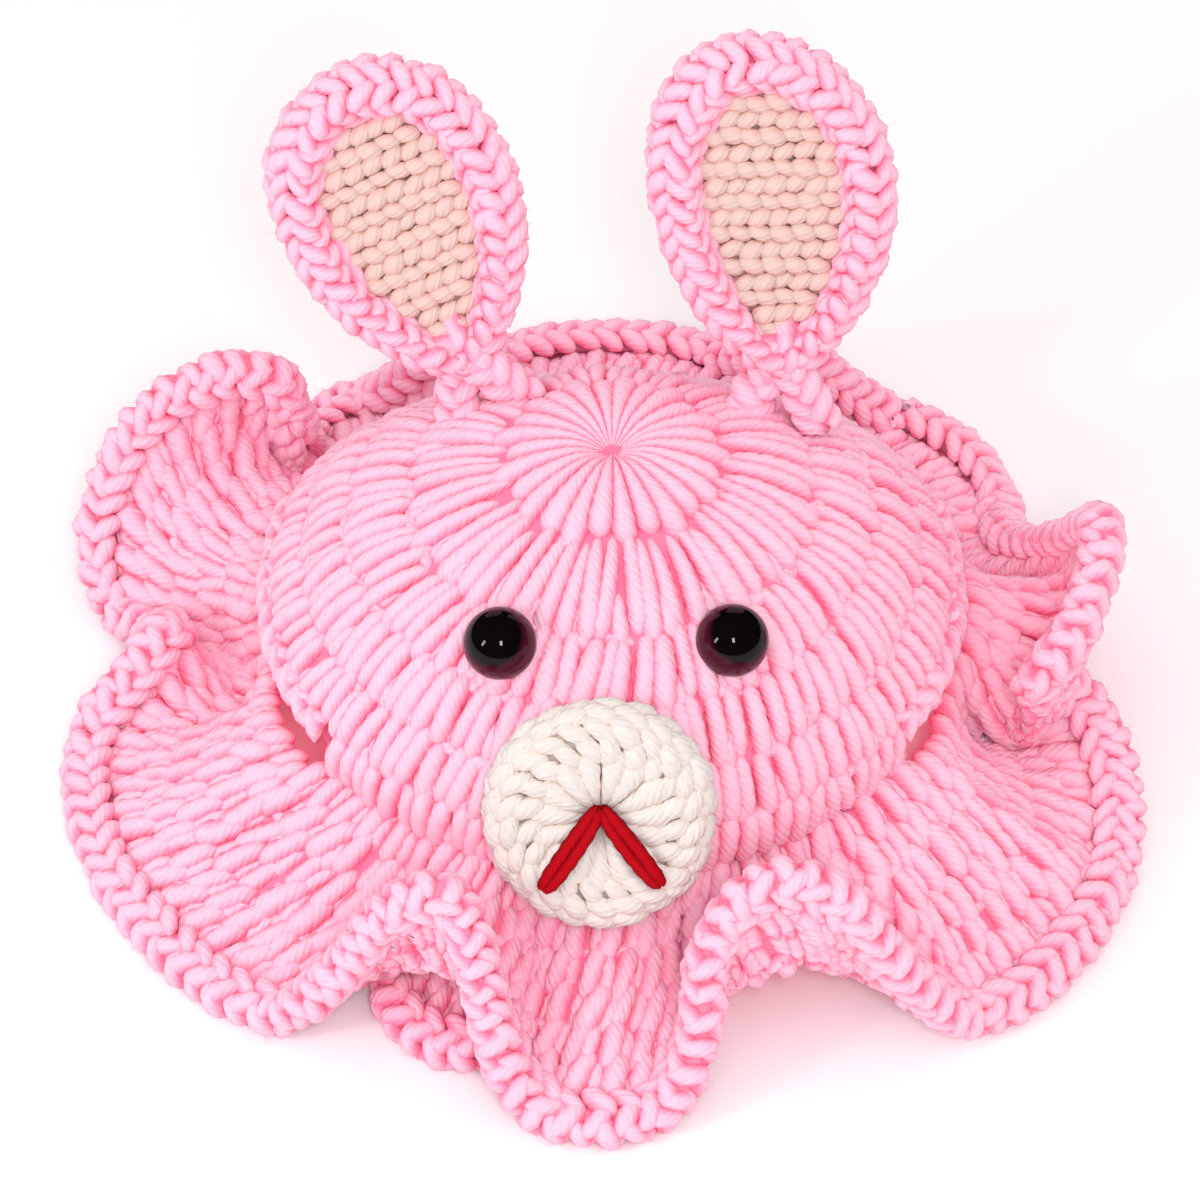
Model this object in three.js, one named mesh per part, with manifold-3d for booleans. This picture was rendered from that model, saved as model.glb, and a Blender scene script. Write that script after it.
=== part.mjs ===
// A baby's hat in thick crochet yarn: a domed crown, a ruffled brim with a rope-like hem, two rabbit
// ears with pale linings, and a rabbit's face. Millimetres, +Z up. The face looks along -Y, and an
// azimuth is measured from the face towards +X, which is the viewer's right.
import * as THREE from "three";
import { mergeVertices } from "three/addons/utils/BufferGeometryUtils.js";
import Module from "manifold-3d";

const wasm = await Module();
wasm.setup();

// Driving dimensions
const FABRIC = 6; // thickness of the crocheted fabric
const GAP = 0.3; // clearance between pieces that touch
const CROWN_TOP = 80; // the crown's outer top above the table
const CROWN_SIDES = 52; // facets round the crown
const APEX_FACET = 4; // radius of the small flat at the crown's top
const ROUND_BULGE = 1.3; // how far a round of stitches swells past the chain lines on either side of it
const AXIS_X = 2.75; // the crown's axis, measured from the middle of the whole hat
const AXIS_Y = 5;
const JOIN_RADIUS = 73; // middle of the fabric where the brim is worked onto the crown
const JOIN_HEIGHT = 26;
const BRIM_DEPTH = 52; // fabric from the join to the middle of the hem
const BRIM_STATIONS = 104; // sections round the brim
const BRIM_ROWS = 3; // rounds of tall stitches in the brim
const EDGE_THINNING = 1.4; // the fabric's half thickness lost where it meets the hem
const ROW_SWELL = 0.5; // change of half thickness between a row's middle and its chain lines
const HEM_RADIUS = 3.7; // the rope-like hem, at its bumps
const HEM_WAIST = 3.0; // and between its bumps
const HEM_BUMPS = 82;
const HEM_SIDES = 6;
const HEM_REST = 2.4; // height of the hem's middle where its yarn is flattened on the table

// Rounds of the crown from the top down: radius and drop of each round's lower edge, outside, over
// the face and the sides, and at the back, where the soft crown slopes straight down
const CROWN_ROUNDS = [
  { radius: 26, drop: 6, back_radius: 26, back_drop: 6.6 },
  { radius: 44.5, drop: 14, back_radius: 42, back_drop: 21.5 },
  { radius: 57.5, drop: 21.8, back_radius: 54, back_drop: 33.5 },
  { radius: 67.5, drop: 32.5, back_radius: 64, back_drop: 43.5 },
  { radius: 74.5, drop: 42.5, back_radius: 71, back_drop: 50 },
  { radius: 76, drop: 53.7, back_radius: 76, back_drop: 53.7 },
];
const SLOPE_FROM = 105; // azimuth either side where the straight slope begins
const SLOPE_FULL = 165; // and where it is complete

// Between these azimuths the last round is only a chain edge, over the side slit
const SLITS = [
  { from: 50, to: 113 },
  { from: -114, to: -50 },
];
const SLIT_RAMP = 9; // degrees over which the last round narrows at a slit's end
const CHAIN_EDGE = 0.28; // share of the last round that is left over a slit

// One row for each fold line of the brim, going round from the back by the left. join and hem are
// azimuths; radius and height place the middle of the hem. A hem near the crown stands on a crest.
const FOLDS = [
  { join: -180, hem: -180, radius: 109, height: 2.4 },
  { join: -167, hem: -167, radius: 107, height: 2.4 },
  { join: -160.5, hem: -161, radius: 98, height: 15 },
  { join: -155, hem: -156, radius: 92, height: 27 },
  { join: -149.5, hem: -151, radius: 98, height: 15 },
  { join: -142, hem: -146, radius: 107, height: 2.4 },
  { join: -133, hem: -138, radius: 105, height: 3 },
  { join: -127, hem: -132, radius: 96, height: 13 },
  { join: -122, hem: -128.5, radius: 90, height: 30 },
  { join: -118, hem: -126, radius: 90, height: 44 },
  { join: -113.5, hem: -122, radius: 99, height: 48 },
  { join: -109, hem: -116, radius: 111, height: 42 },
  { join: -104.5, hem: -111, radius: 118, height: 30 },
  { join: -100, hem: -106.5, radius: 120, height: 15 },
  { join: -96, hem: -101.5, radius: 115, height: 6 },
  { join: -92, hem: -97.5, radius: 105, height: 6 },
  { join: -88.5, hem: -94.5, radius: 98, height: 12 },
  { join: -85, hem: -90.5, radius: 98, height: 18 },
  { join: -81, hem: -86.5, radius: 104, height: 14 },
  { join: -77, hem: -83, radius: 112.5, height: 7 },
  { join: -71, hem: -76, radius: 117, height: 2.4 },
  { join: -61, hem: -65, radius: 119, height: 2.4 },
  { join: -50, hem: -52.5, radius: 118.5, height: 2.4 },
  { join: -40, hem: -42, radius: 117.5, height: 2.4 },
  { join: -33, hem: -35.5, radius: 114, height: 6 },
  { join: -29, hem: -30.5, radius: 108, height: 20 },
  { join: -25.5, hem: -26.5, radius: 103, height: 36 },
  { join: -21.5, hem: -21.6, radius: 99, height: 43 },
  { join: -17.5, hem: -17, radius: 101, height: 40 },
  { join: -14, hem: -14, radius: 107, height: 28 },
  { join: -11, hem: -11, radius: 113.5, height: 13 },
  { join: -7, hem: -6.6, radius: 118, height: 4.4 },
  { join: 0, hem: 0, radius: 119, height: 2.4 },
  { join: 6.5, hem: 5.9, radius: 115, height: 5.5 },
  { join: 10.2, hem: 9.5, radius: 107, height: 16 },
  { join: 13.5, hem: 11.4, radius: 99, height: 30 },
  { join: 17.5, hem: 16, radius: 94.5, height: 40.5 },
  { join: 22, hem: 22, radius: 97, height: 44.5 },
  { join: 26, hem: 27.5, radius: 104.5, height: 38 },
  { join: 29.5, hem: 31.8, radius: 112.5, height: 21 },
  { join: 34, hem: 37.4, radius: 118, height: 5.5 },
  { join: 42, hem: 46, radius: 121.5, height: 2.4 },
  { join: 53, hem: 57, radius: 120.5, height: 2.4 },
  { join: 62.5, hem: 67.5, radius: 117, height: 4.4 },
  { join: 68, hem: 74.5, radius: 112.5, height: 8 },
  { join: 72, hem: 80, radius: 106, height: 13 },
  { join: 76, hem: 81, radius: 99, height: 20 },
  { join: 79.5, hem: 76, radius: 93.5, height: 27 },
  { join: 83, hem: 73, radius: 93.5, height: 34.5 },
  { join: 87, hem: 76.5, radius: 98.5, height: 41.5 },
  { join: 91.5, hem: 83.5, radius: 102.5, height: 46.5 },
  { join: 96, hem: 90, radius: 104.5, height: 49.5 },
  { join: 100, hem: 95, radius: 104, height: 45 },
  { join: 105, hem: 100, radius: 101, height: 32 },
  { join: 110, hem: 106, radius: 98, height: 18 },
  { join: 116, hem: 114, radius: 98, height: 9 },
  { join: 123, hem: 122, radius: 105, height: 3 },
  { join: 132, hem: 131.5, radius: 109, height: 2.4 },
  { join: 141, hem: 140, radius: 107, height: 2.6 },
  { join: 148, hem: 146, radius: 98, height: 15 },
  { join: 153.5, hem: 151, radius: 92, height: 27 },
  { join: 160, hem: 158, radius: 98, height: 15 },
  { join: 168, hem: 168, radius: 107, height: 2.4 },
];

// A pleat of the brim is tucked under the crest left of the face: reach of its hem by azimuth
const TUCK = [
  { azimuth: -30.5, reach: 94 },
  { azimuth: -28, reach: 101 },
  { azimuth: -24.5, reach: 106 },
  { azimuth: -20.5, reach: 108.5 },
  { azimuth: -16.5, reach: 108.5 },
  { azimuth: -13, reach: 105 },
  { azimuth: -10.5, reach: 99 },
];
const TUCK_ROOT = { radius: 84.5, height: 12 }; // where it leaves the crest's underside
const TUCK_FLAT = 9; // from the middle of its hem in to where the fabric lies flat

// Ears: where the two sides of the rim cross above the crown, the lean towards +X there in degrees,
// how far the top is bent towards +X, and the length above the crossing
const EARS = [
  { name: "ear_left", crossing: [-31.5, 25.4, 80.5], lean: -23, bend: 1, length: 66 },
  { name: "ear_right", crossing: [35.6, 24.6, 80], lean: -1, bend: -6, length: 69 },
];
const EAR_LEAN_BACK = 25; // degrees from the vertical
const EAR_SIDES = 24;

// Foot of an ear from the crossing down into the crown, before it is trimmed to the crown: half width,
// half depth, height above the crossing, and depth of its middle towards the front
const EAR_FOOT = [
  { halfWidth: 7.5, halfDepth: 5.5, up: 3, depth: -1.5 },
  { halfWidth: 7.5, halfDepth: 6, up: 0, depth: -1 },
  { halfWidth: 11.5, halfDepth: 7, up: -6, depth: -1 },
  { halfWidth: 14, halfDepth: 7.5, up: -17, depth: -1 },
];
const FOOT_SIDES = 16;

// Teardrop outlines of the ear from the middle of its front over the rim to the middle of its back:
// half width, ends above the crossing as measured from it and from the top, how pointed the lower
// end is, and depth towards the front
const EAR_DISH = [
  { half: 6, bottom: 20, below_top: 24, point: 0.7, depth: -3.4 },
  { half: 13.2, bottom: 3, below_top: 13.2, point: 0.7, depth: -1.6 },
  { half: 15, bottom: 1, below_top: 11.2, point: 0.6, depth: 3.6 },
  { half: 19.4, bottom: -2, below_top: 6.6, point: 0.45, depth: 6.2 },
  { half: 24.4, bottom: -5, below_top: 1.4, point: 0.35, depth: 3.2 },
  { half: 25.7, bottom: -6, below_top: 0, point: 0.35, depth: -1 },
  { half: 23, bottom: -4, below_top: 2.6, point: 0.35, depth: -5.2 },
  { half: 14, bottom: 4, below_top: 12, point: 0.5, depth: -7 },
];
const EAR_LINING = [
  { half: 6, bottom: 20, below_top: 24, point: 0.7, depth: -0.2 },
  { half: 11.6, bottom: 5.2, below_top: 14.6, point: 0.7, depth: 1.5 },
  { half: 12.6, bottom: 4.2, below_top: 13.7, point: 0.7, depth: -1.2 },
  { half: 6, bottom: 20, below_top: 24, point: 0.7, depth: -3 },
];

// Face
const EYES = [
  { name: "left", azimuth: -27.2 },
  { name: "right", azimuth: 29.2 },
];
const EYE_RADIUS = 7.5;
const EYE_DISTANCE = 49; // from the crown's axis to the eye's middle
const EYE_STANDOFF = 1.6; // the middle of the ball above the crown's chain lines
const EYE_SIDES = 18;
const EYE_BANDS = 7;
const EYE_POST_RADIUS = 2.5;
const POST_ROOT = 3; // the post starts inside the ball, above the crown's chain lines
const POST_TIP = 1; // and ends this far beyond the washer
const POST_SIDES = 10;
const HOLE_TOP = 6; // the post's hole is cut from above the fabric
const HOLE_BEYOND = 2; // to beyond the post's end
const WASHER_RADIUS = 6.5;
const WASHER_THICKNESS = 2;
const WASHER_DROP = 1.5; // the washer's face under the inner chain lines, clear of the bulging rounds
const WASHER_SIDES = 16;
const MUZZLE_RADIUS = 24;
const MUZZLE_CENTRE = { sideways: -2.4, radius: 71, height: 43.5 }; // middle of its back
const MUZZLE_TILT = 33; // degrees its face looks above the level
const MUZZLE_SIDES = 30;
const MOUTH_ENDS = [
  { name: "mouth_left", x: -11.8, y: -14.6 },
  { name: "mouth_right", x: 12.4, y: -13.6 },
];
const MOUTH_TOP = 1.2; // the strokes' shared upper end above the muzzle's middle
const MOUTH_SPREAD = 1.5; // each stroke starts this far to its side
const STROKE_RADIUS = 2.1;
const STROKE_HEIGHT = 7.3; // the middle of its ends above the muzzle's back
const STROKE_ARCH = 0.6; // how much higher its middle is
const STROKE_TAPER = { least: 0.55, from: 0.12, to: 0.88 }; // share of the radius, part of a half wave
const STROKE_STEPS = 5;
const STROKE_SIDES = 8;

// Front of the muzzle from its middle out: share of the radius, and height over the back
const MUZZLE_FACE = [
  { share: 0.1, height: 4.6 },
  { share: 0.32, height: 6.4 },
  { share: 0.62, height: 7.4 },
  { share: 0.86, height: 7.2 },
  { share: 1.0, height: 2.4 },
  { share: 0.95, height: -0.5 },
  { share: 0.7, height: -4 },
];

const rad = THREE.MathUtils.degToRad;
const lerp = THREE.MathUtils.lerp;
const smoothstep = THREE.MathUtils.smoothstep;

function atAzimuth(degrees, radius, height) {
  const angle = rad(degrees);
  return new THREE.Vector3(radius * Math.sin(angle), -radius * Math.cos(angle), height);
}

// A closed skin over rows of points, each row a loop. Joined end to end it is a ring; otherwise a
// fan closes each end.
function loft(rows, joined = false) {
  const sides = rows[0].length;
  const points = rows.flat();
  const faces = [];
  const bands = joined ? rows.length : rows.length - 1;
  for (let i = 0; i < bands; i += 1) {
    const next = (i + 1) % rows.length;
    for (let j = 0; j < sides; j += 1) {
      const k = (j + 1) % sides;
      const [a, b] = [i * sides + j, i * sides + k];
      const [c, d] = [next * sides + j, next * sides + k];
      faces.push([a, b, d], [a, d, c]);
    }
  }
  if (!joined) {
    for (const [row, flip] of [[0, true], [rows.length - 1, false]]) {
      const centre = new THREE.Vector3();
      rows[row].forEach((point) => centre.addScaledVector(point, 1 / sides));
      const tip = points.push(centre) - 1;
      for (let j = 0; j < sides; j += 1) {
        const pair = [row * sides + j, row * sides + ((j + 1) % sides)];
        faces.push(flip ? [tip, pair[1], pair[0]] : [tip, pair[0], pair[1]]);
      }
    }
  }
  return facingOut(points, faces);
}

function facingOut(points, faces) {
  let volume = 0;
  for (const [a, b, c] of faces) {
    volume += points[a].dot(new THREE.Vector3().crossVectors(points[b], points[c]));
  }
  const turned = volume < 0 ? faces.map(([a, b, c]) => [a, c, b]) : faces;
  const geometry = new THREE.BufferGeometry();
  const coordinates = points.flatMap((point) => point.toArray());
  geometry.setAttribute("position", new THREE.Float32BufferAttribute(coordinates, 3));
  geometry.setIndex(turned.flat());
  return geometry;
}

function toSolid(geometry) {
  const bare = geometry.clone();
  bare.deleteAttribute("normal");
  bare.deleteAttribute("uv");
  const merged = mergeVertices(bare, 1e-4);
  const vertProperties = new Float32Array(merged.attributes.position.array);
  const triVerts = new Uint32Array(merged.index.array);
  return new wasm.Manifold(new wasm.Mesh({ numProp: 3, vertProperties, triVerts }));
}

function toGeometry(solid) {
  const mesh = solid.getMesh();
  const geometry = new THREE.BufferGeometry();
  geometry.setAttribute("position", new THREE.BufferAttribute(mesh.vertProperties, 3));
  geometry.setIndex(new THREE.BufferAttribute(mesh.triVerts, 1));
  return geometry;
}

// The main body of a cut solid, without any crumb that the cut leaves beside it
function mainBody(solid) {
  return solid.decompose().reduce((a, b) => (a.volume() > b.volume() ? a : b));
}

// Crown

function slitShare(azimuth) {
  let open = 0;
  for (const { from, to } of SLITS) {
    const enter = smoothstep(azimuth, from, from + SLIT_RAMP);
    const leave = smoothstep(azimuth, to - SLIT_RAMP, to);
    open = Math.max(open, enter * (1 - leave));
  }
  return open;
}

// The crown's rounds at one azimuth
function roundsAt(azimuth) {
  const back = smoothstep(Math.abs(azimuth), SLOPE_FROM, SLOPE_FULL);
  return CROWN_ROUNDS.map(({ radius, drop, back_radius, back_drop }) => ({
    radius: lerp(radius, back_radius, back),
    drop: lerp(drop, back_drop, back),
  }));
}

// Outward direction across a round, as radial and upward parts
function roundNormal(inner, outer) {
  const run = outer.radius - inner.radius;
  const fall = outer.drop - inner.drop;
  const length = Math.hypot(run, fall);
  return { radial: fall / length, up: run / length };
}

// The crown's outline at one azimuth from the top to the lower edge, as radius and height. It
// swells between the chain lines, or is set in by the fabric's thickness with no swell.
function crownLine(azimuth, swell, inset) {
  const rounds = roundsAt(azimuth);
  const line = [];
  let inner = { radius: 0, drop: 0 };
  rounds.slice(0, -1).forEach((round, i) => {
    const normal = roundNormal(inner, round);
    const next = roundNormal(round, rounds[i + 1]);
    if (i === 0) {
      line.push({ radius: APEX_FACET, height: CROWN_TOP - inset - swell / 2 });
    }
    if (i === 0 || swell !== 0) {
      line.push({
        radius: (inner.radius + round.radius) / 2 + normal.radial * (swell - inset),
        height: CROWN_TOP - (inner.drop + round.drop) / 2 + normal.up * (swell - inset),
      });
    }
    line.push({
      radius: round.radius - (normal.radial + next.radial) * (inset / 2),
      height: CROWN_TOP - round.drop - (normal.up + next.up) * (inset / 2),
    });
    inner = round;
  });
  const [above, below] = rounds.slice(-2);
  const share = lerp(1, CHAIN_EDGE, slitShare(azimuth));
  line.push({
    radius: lerp(above.radius, below.radius, share) - inset,
    height: CROWN_TOP - lerp(above.drop, below.drop, share),
  });
  return line;
}

// Rows of points round the crown, from the top down
function crownRows(swell, inset) {
  const azimuths = Array.from({ length: CROWN_SIDES }, (_, i) => (i * 360) / CROWN_SIDES - 180);
  const lines = azimuths.map((azimuth) => crownLine(azimuth, swell, inset));
  return lines[0].map((_, j) =>
    azimuths.map((azimuth, i) => atAzimuth(azimuth, lines[i][j].radius, lines[i][j].height)));
}

function crownGeometry() {
  const outside = crownRows(ROUND_BULGE, 0);
  const inside = crownRows(0, FABRIC);
  return loft([...outside, ...inside.reverse()]);
}

// The crown's filled outer form, a gap larger, which trims what is sewn onto it
function crownFormer() {
  const rows = crownRows(ROUND_BULGE, -GAP);
  const floor = rows.at(-1).map((point) => new THREE.Vector3(point.x, point.y, 0));
  return toSolid(loft([...rows, floor]));
}

// Brim

// A smooth value between the folds, going once round
function foldValue(join, key) {
  const count = FOLDS.length;
  const row = (index) => {
    const turn = Math.floor(index / count);
    const fold = FOLDS[index - turn * count];
    const shift = key === "hem" ? 360 * turn : 0;
    return { at: fold.join + 360 * turn, value: fold[key] + shift };
  };
  let index = 0;
  while (row(index + 1).at <= join) index += 1;
  const [before, a, b, after] = [row(index - 1), row(index), row(index + 1), row(index + 2)];
  const span = b.at - a.at;
  const slopeA = ((b.value - before.value) / (b.at - before.at)) * span;
  const slopeB = ((after.value - a.value) / (after.at - a.at)) * span;
  const t = (join - a.at) / span;
  const rise = b.value - a.value;
  return a.value + t * (slopeA + t * (3 * rise - 2 * slopeA - slopeB + t * (slopeA + slopeB - 2 * rise)));
}

const SECTION_STEPS = 24;
const SAG_OUTWARD = 0.3; // the sag leans this much outward for each step down

function sectionPoints(start, control, end) {
  return new THREE.QuadraticBezierCurve3(start, control, end).getPoints(SECTION_STEPS);
}

function pathLength(points) {
  let length = 0;
  for (let i = 1; i < points.length; i += 1) length += points[i].distanceTo(points[i - 1]);
  return length;
}

// The middle of the hem at one join, at its least height where it lies on the table
function hemPoint(join, lowest = 0) {
  const height = Math.max(foldValue(join, "height"), lowest);
  return atAzimuth(foldValue(join, "hem"), foldValue(join, "radius"), height);
}

// The brim's middle line at one join: it runs from the crown to its hem and sags below the straight
// line between them as deep as its length of fabric needs
function brimSection(join) {
  const start = atAzimuth(join, JOIN_RADIUS, JOIN_HEIGHT);
  const end = hemPoint(join);
  const chord = end.clone().sub(start).normalize();
  const sag = atAzimuth(join, SAG_OUTWARD, 0).sub(atAzimuth(join, 0, 1));
  sag.addScaledVector(chord, -sag.dot(chord)).normalize();
  const middle = start.clone().lerp(end, 0.5);
  const bent = (depth) => sectionPoints(start, middle.clone().addScaledVector(sag, depth), end);
  let [near, far] = [0, 70];
  for (let step = 0; step < 24; step += 1) {
    const depth = (near + far) / 2;
    if (pathLength(bent(depth)) < BRIM_DEPTH) near = depth;
    else far = depth;
  }
  return bent(near).map(aboveLining);
}

// The middle of cloth that lies flat on the table
function aboveLining(point) {
  point.z = Math.max(point.z, FABRIC / 2);
  return point;
}

function alongPath(points, distance) {
  let left = distance;
  for (let i = 1; i < points.length; i += 1) {
    const step = points[i].distanceTo(points[i - 1]);
    if (left <= step) return points[i - 1].clone().lerp(points[i], left / step);
    left -= step;
  }
  return points.at(-1).clone();
}

const BRIM_SECTIONS = Array.from({ length: BRIM_STATIONS }, (_, i) =>
  brimSection((i * 360) / BRIM_STATIONS - 180));

// Places along the fabric: the two edges, the chain lines, and the middle of each row
function brimStops() {
  const stops = [];
  for (let i = 0; i <= 2 * BRIM_ROWS; i += 1) {
    stops.push({ share: i / (2 * BRIM_ROWS), swell: i % 2 === 0 ? -ROW_SWELL : ROW_SWELL });
  }
  stops.at(-1).swell = -EDGE_THINNING;
  return stops;
}

function brimGeometry(extra = 0) {
  const stops = brimStops();
  const middle = BRIM_SECTIONS.map((points) => {
    const edge = pathLength(points) - HEM_RADIUS - 2 * GAP;
    return stops.map((stop) => alongPath(points, stop.share * edge));
  });
  const rows = middle.map((line, i) => {
    const before = middle.at(i - 1);
    const after = middle[(i + 1) % middle.length];
    const upper = [];
    const lower = [];
    line.forEach((point, j) => {
      const around = after[j].clone().sub(before[j]);
      const outward = line[Math.min(j + 1, line.length - 1)].clone().sub(line[Math.max(j - 1, 0)]);
      const normal = new THREE.Vector3().crossVectors(around, outward).normalize();
      if (j === 0) normal.setZ(0).normalize();
      const half = FABRIC / 2 + stops[j].swell + extra;
      upper.push(aboveTable(point.clone().addScaledVector(normal, -half)));
      lower.push(aboveTable(point.clone().addScaledVector(normal, half)));
    });
    return [...upper, ...lower.reverse()];
  });
  return loft(rows, true);
}

// The tucked pleat slopes from the crest's underside to the table and ends in a length of hem
function tuckGeometry() {
  const half = FABRIC / 2;
  const rows = TUCK.map(({ azimuth, reach }) => {
    const section = [
      [TUCK_ROOT.radius, TUCK_ROOT.height + half],
      [reach - TUCK_FLAT, FABRIC],
      [reach - HEM_RADIUS, FABRIC],
      [reach, HEM_REST + HEM_RADIUS],
      [reach + HEM_RADIUS, HEM_REST],
      [reach + HEM_WAIST, 0],
      [reach - TUCK_FLAT, 0],
      [TUCK_ROOT.radius, TUCK_ROOT.height - half],
    ];
    return section.map(([radius, height]) => atAzimuth(azimuth, radius, height));
  });
  return loft(rows);
}

// Cloth lies flat where it meets the table
function aboveTable(point) {
  point.z = Math.max(point.z, 0);
  return point;
}

// Hem: a thick rope of reversed stitches along the brim's edge

function hemGeometry(extra = 0) {
  const stations = HEM_BUMPS * 2;
  const up = new THREE.Vector3(0, 0, 1);
  const centres = Array.from({ length: stations }, (_, i) =>
    hemPoint((i * 360) / stations - 180, HEM_REST));
  const rows = centres.map((centre, i) => {
    const along = centres[(i + 1) % stations].clone().sub(centres.at(i - 1)).normalize();
    const level = new THREE.Vector3().crossVectors(up, along).normalize();
    const normal = new THREE.Vector3().crossVectors(along, level);
    const radius = i % 2 === 0 || extra > 0 ? HEM_RADIUS + extra : HEM_WAIST;
    const row = [];
    for (let k = 0; k < HEM_SIDES; k += 1) {
      const angle = (k * 2 * Math.PI) / HEM_SIDES;
      const point = centre.clone();
      point.addScaledVector(level, radius * Math.cos(angle));
      point.addScaledVector(normal, radius * Math.sin(angle));
      row.push(extra > 0 ? point : aboveTable(point));
    }
    return row;
  });
  return loft(rows, true);
}

// Ears

function earFrame(ear) {
  const right = new THREE.Vector3(1, 0, 0);
  const up = new THREE.Vector3(0, Math.sin(rad(EAR_LEAN_BACK)), Math.cos(rad(EAR_LEAN_BACK)));
  const front = new THREE.Vector3().crossVectors(right, up);
  const frame = new THREE.Matrix4().makeBasis(right, up, front);
  return frame.setPosition(...ear.crossing);
}

// A point of the ear's face: sideways and up from the crossing, with the lean and the bend
function earPoint(ear, sideways, up, depth) {
  const lean = rad(ear.lean);
  const share = Math.max(up, 0) / ear.length;
  const bent = sideways + ear.bend * share * share;
  const x = bent * Math.cos(lean) + up * Math.sin(lean);
  const y = up * Math.cos(lean) - bent * Math.sin(lean);
  return new THREE.Vector3(x, y, depth);
}

// A teardrop outline; the larger its point, the slimmer its lower end
function earRow(ear, { half, bottom, below_top, point, depth }) {
  const cosine = -point / (2 + point);
  const widest = Math.sqrt(1 - cosine * cosine) * ((1 - cosine) / 2) ** (point / 2);
  const height = ear.length - below_top - bottom;
  const row = [];
  for (let i = 0; i < EAR_SIDES; i += 1) {
    const turn = (2 * Math.PI * i) / EAR_SIDES;
    const share = (1 - Math.cos(turn)) / 2;
    const sideways = (half * Math.sin(turn) * share ** (point / 2)) / widest;
    row.push(earPoint(ear, sideways, bottom + share * height, depth));
  }
  return row;
}

function earFoot() {
  return loft(EAR_FOOT.map(({ halfWidth, halfDepth, up, depth }) =>
    disc(1, 0, FOOT_SIDES).map((point) =>
      new THREE.Vector3(halfWidth * point.x, up, depth + halfDepth * point.y))));
}

function earGeometry(ear, former) {
  const dish = loft(EAR_DISH.map((outline) => earRow(ear, outline)));
  const frame = earFrame(ear);
  const whole = toSolid(dish.applyMatrix4(frame)).add(toSolid(earFoot().applyMatrix4(frame)));
  return toGeometry(whole.subtract(former));
}

function liningGeometry(ear) {
  return loft(EAR_LINING.map((outline) => earRow(ear, outline))).applyMatrix4(earFrame(ear));
}

// Face

function frameAt(origin, normal) {
  const right = new THREE.Vector3(0, 0, 1).cross(normal).normalize();
  const up = new THREE.Vector3().crossVectors(normal, right);
  return new THREE.Matrix4().makeBasis(right, up, normal).setPosition(origin);
}

function disc(radius, height, sides) {
  return Array.from({ length: sides }, (_, i) => {
    const turn = (2 * Math.PI * i) / sides;
    return new THREE.Vector3(radius * Math.cos(turn), radius * Math.sin(turn), height);
  });
}

function eyeFrame(eye) {
  const [inner, outer] = CROWN_ROUNDS.slice(1, 3);
  const share = (EYE_DISTANCE - inner.radius) / (outer.radius - inner.radius);
  const height = CROWN_TOP - lerp(inner.drop, outer.drop, share);
  const normal = roundNormal(inner, outer);
  const outward = atAzimuth(eye.azimuth, normal.radial, normal.up);
  return frameAt(atAzimuth(eye.azimuth, EYE_DISTANCE, height), outward);
}

const WASHER_FACE = -FABRIC - WASHER_DROP; // measured from the crown's outer chain lines
const POST_END = WASHER_FACE - WASHER_THICKNESS - POST_TIP;

function eyeGeometry(eye, former) {
  const rows = [];
  for (let i = 1; i < EYE_BANDS; i += 1) {
    const turn = (Math.PI * i) / EYE_BANDS;
    const height = EYE_STANDOFF + EYE_RADIUS * Math.cos(turn);
    rows.push(disc(EYE_RADIUS * Math.sin(turn), height, EYE_SIDES));
  }
  const frame = eyeFrame(eye);
  const ball = toSolid(loft(rows).applyMatrix4(frame)).subtract(former);
  const post = loft([POST_END, POST_ROOT].map((height) => disc(EYE_POST_RADIUS, height, POST_SIDES)));
  return toGeometry(ball.add(toSolid(post.applyMatrix4(frame))));
}

function postHole(eye) {
  const radius = EYE_POST_RADIUS + GAP;
  const hole = loft([POST_END - HOLE_BEYOND, HOLE_TOP].map((height) => disc(radius, height, POST_SIDES)));
  return toSolid(hole.applyMatrix4(eyeFrame(eye)));
}

function washerGeometry(eye) {
  const plate = loft([WASHER_FACE - WASHER_THICKNESS, WASHER_FACE].map((height) =>
    disc(WASHER_RADIUS, height, WASHER_SIDES)));
  return toGeometry(toSolid(plate.applyMatrix4(eyeFrame(eye))).subtract(postHole(eye)));
}

function muzzleFrame() {
  const tilt = rad(MUZZLE_TILT);
  const origin = atAzimuth(0, MUZZLE_CENTRE.radius, MUZZLE_CENTRE.height);
  origin.x = MUZZLE_CENTRE.sideways;
  return frameAt(origin, new THREE.Vector3(0, -Math.cos(tilt), Math.sin(tilt)));
}

function muzzleSolid(extra = 0) {
  const rows = MUZZLE_FACE.map(({ share, height }) =>
    disc(MUZZLE_RADIUS * share, height + extra, MUZZLE_SIDES));
  return toSolid(loft(rows).applyMatrix4(muzzleFrame()));
}

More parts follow.
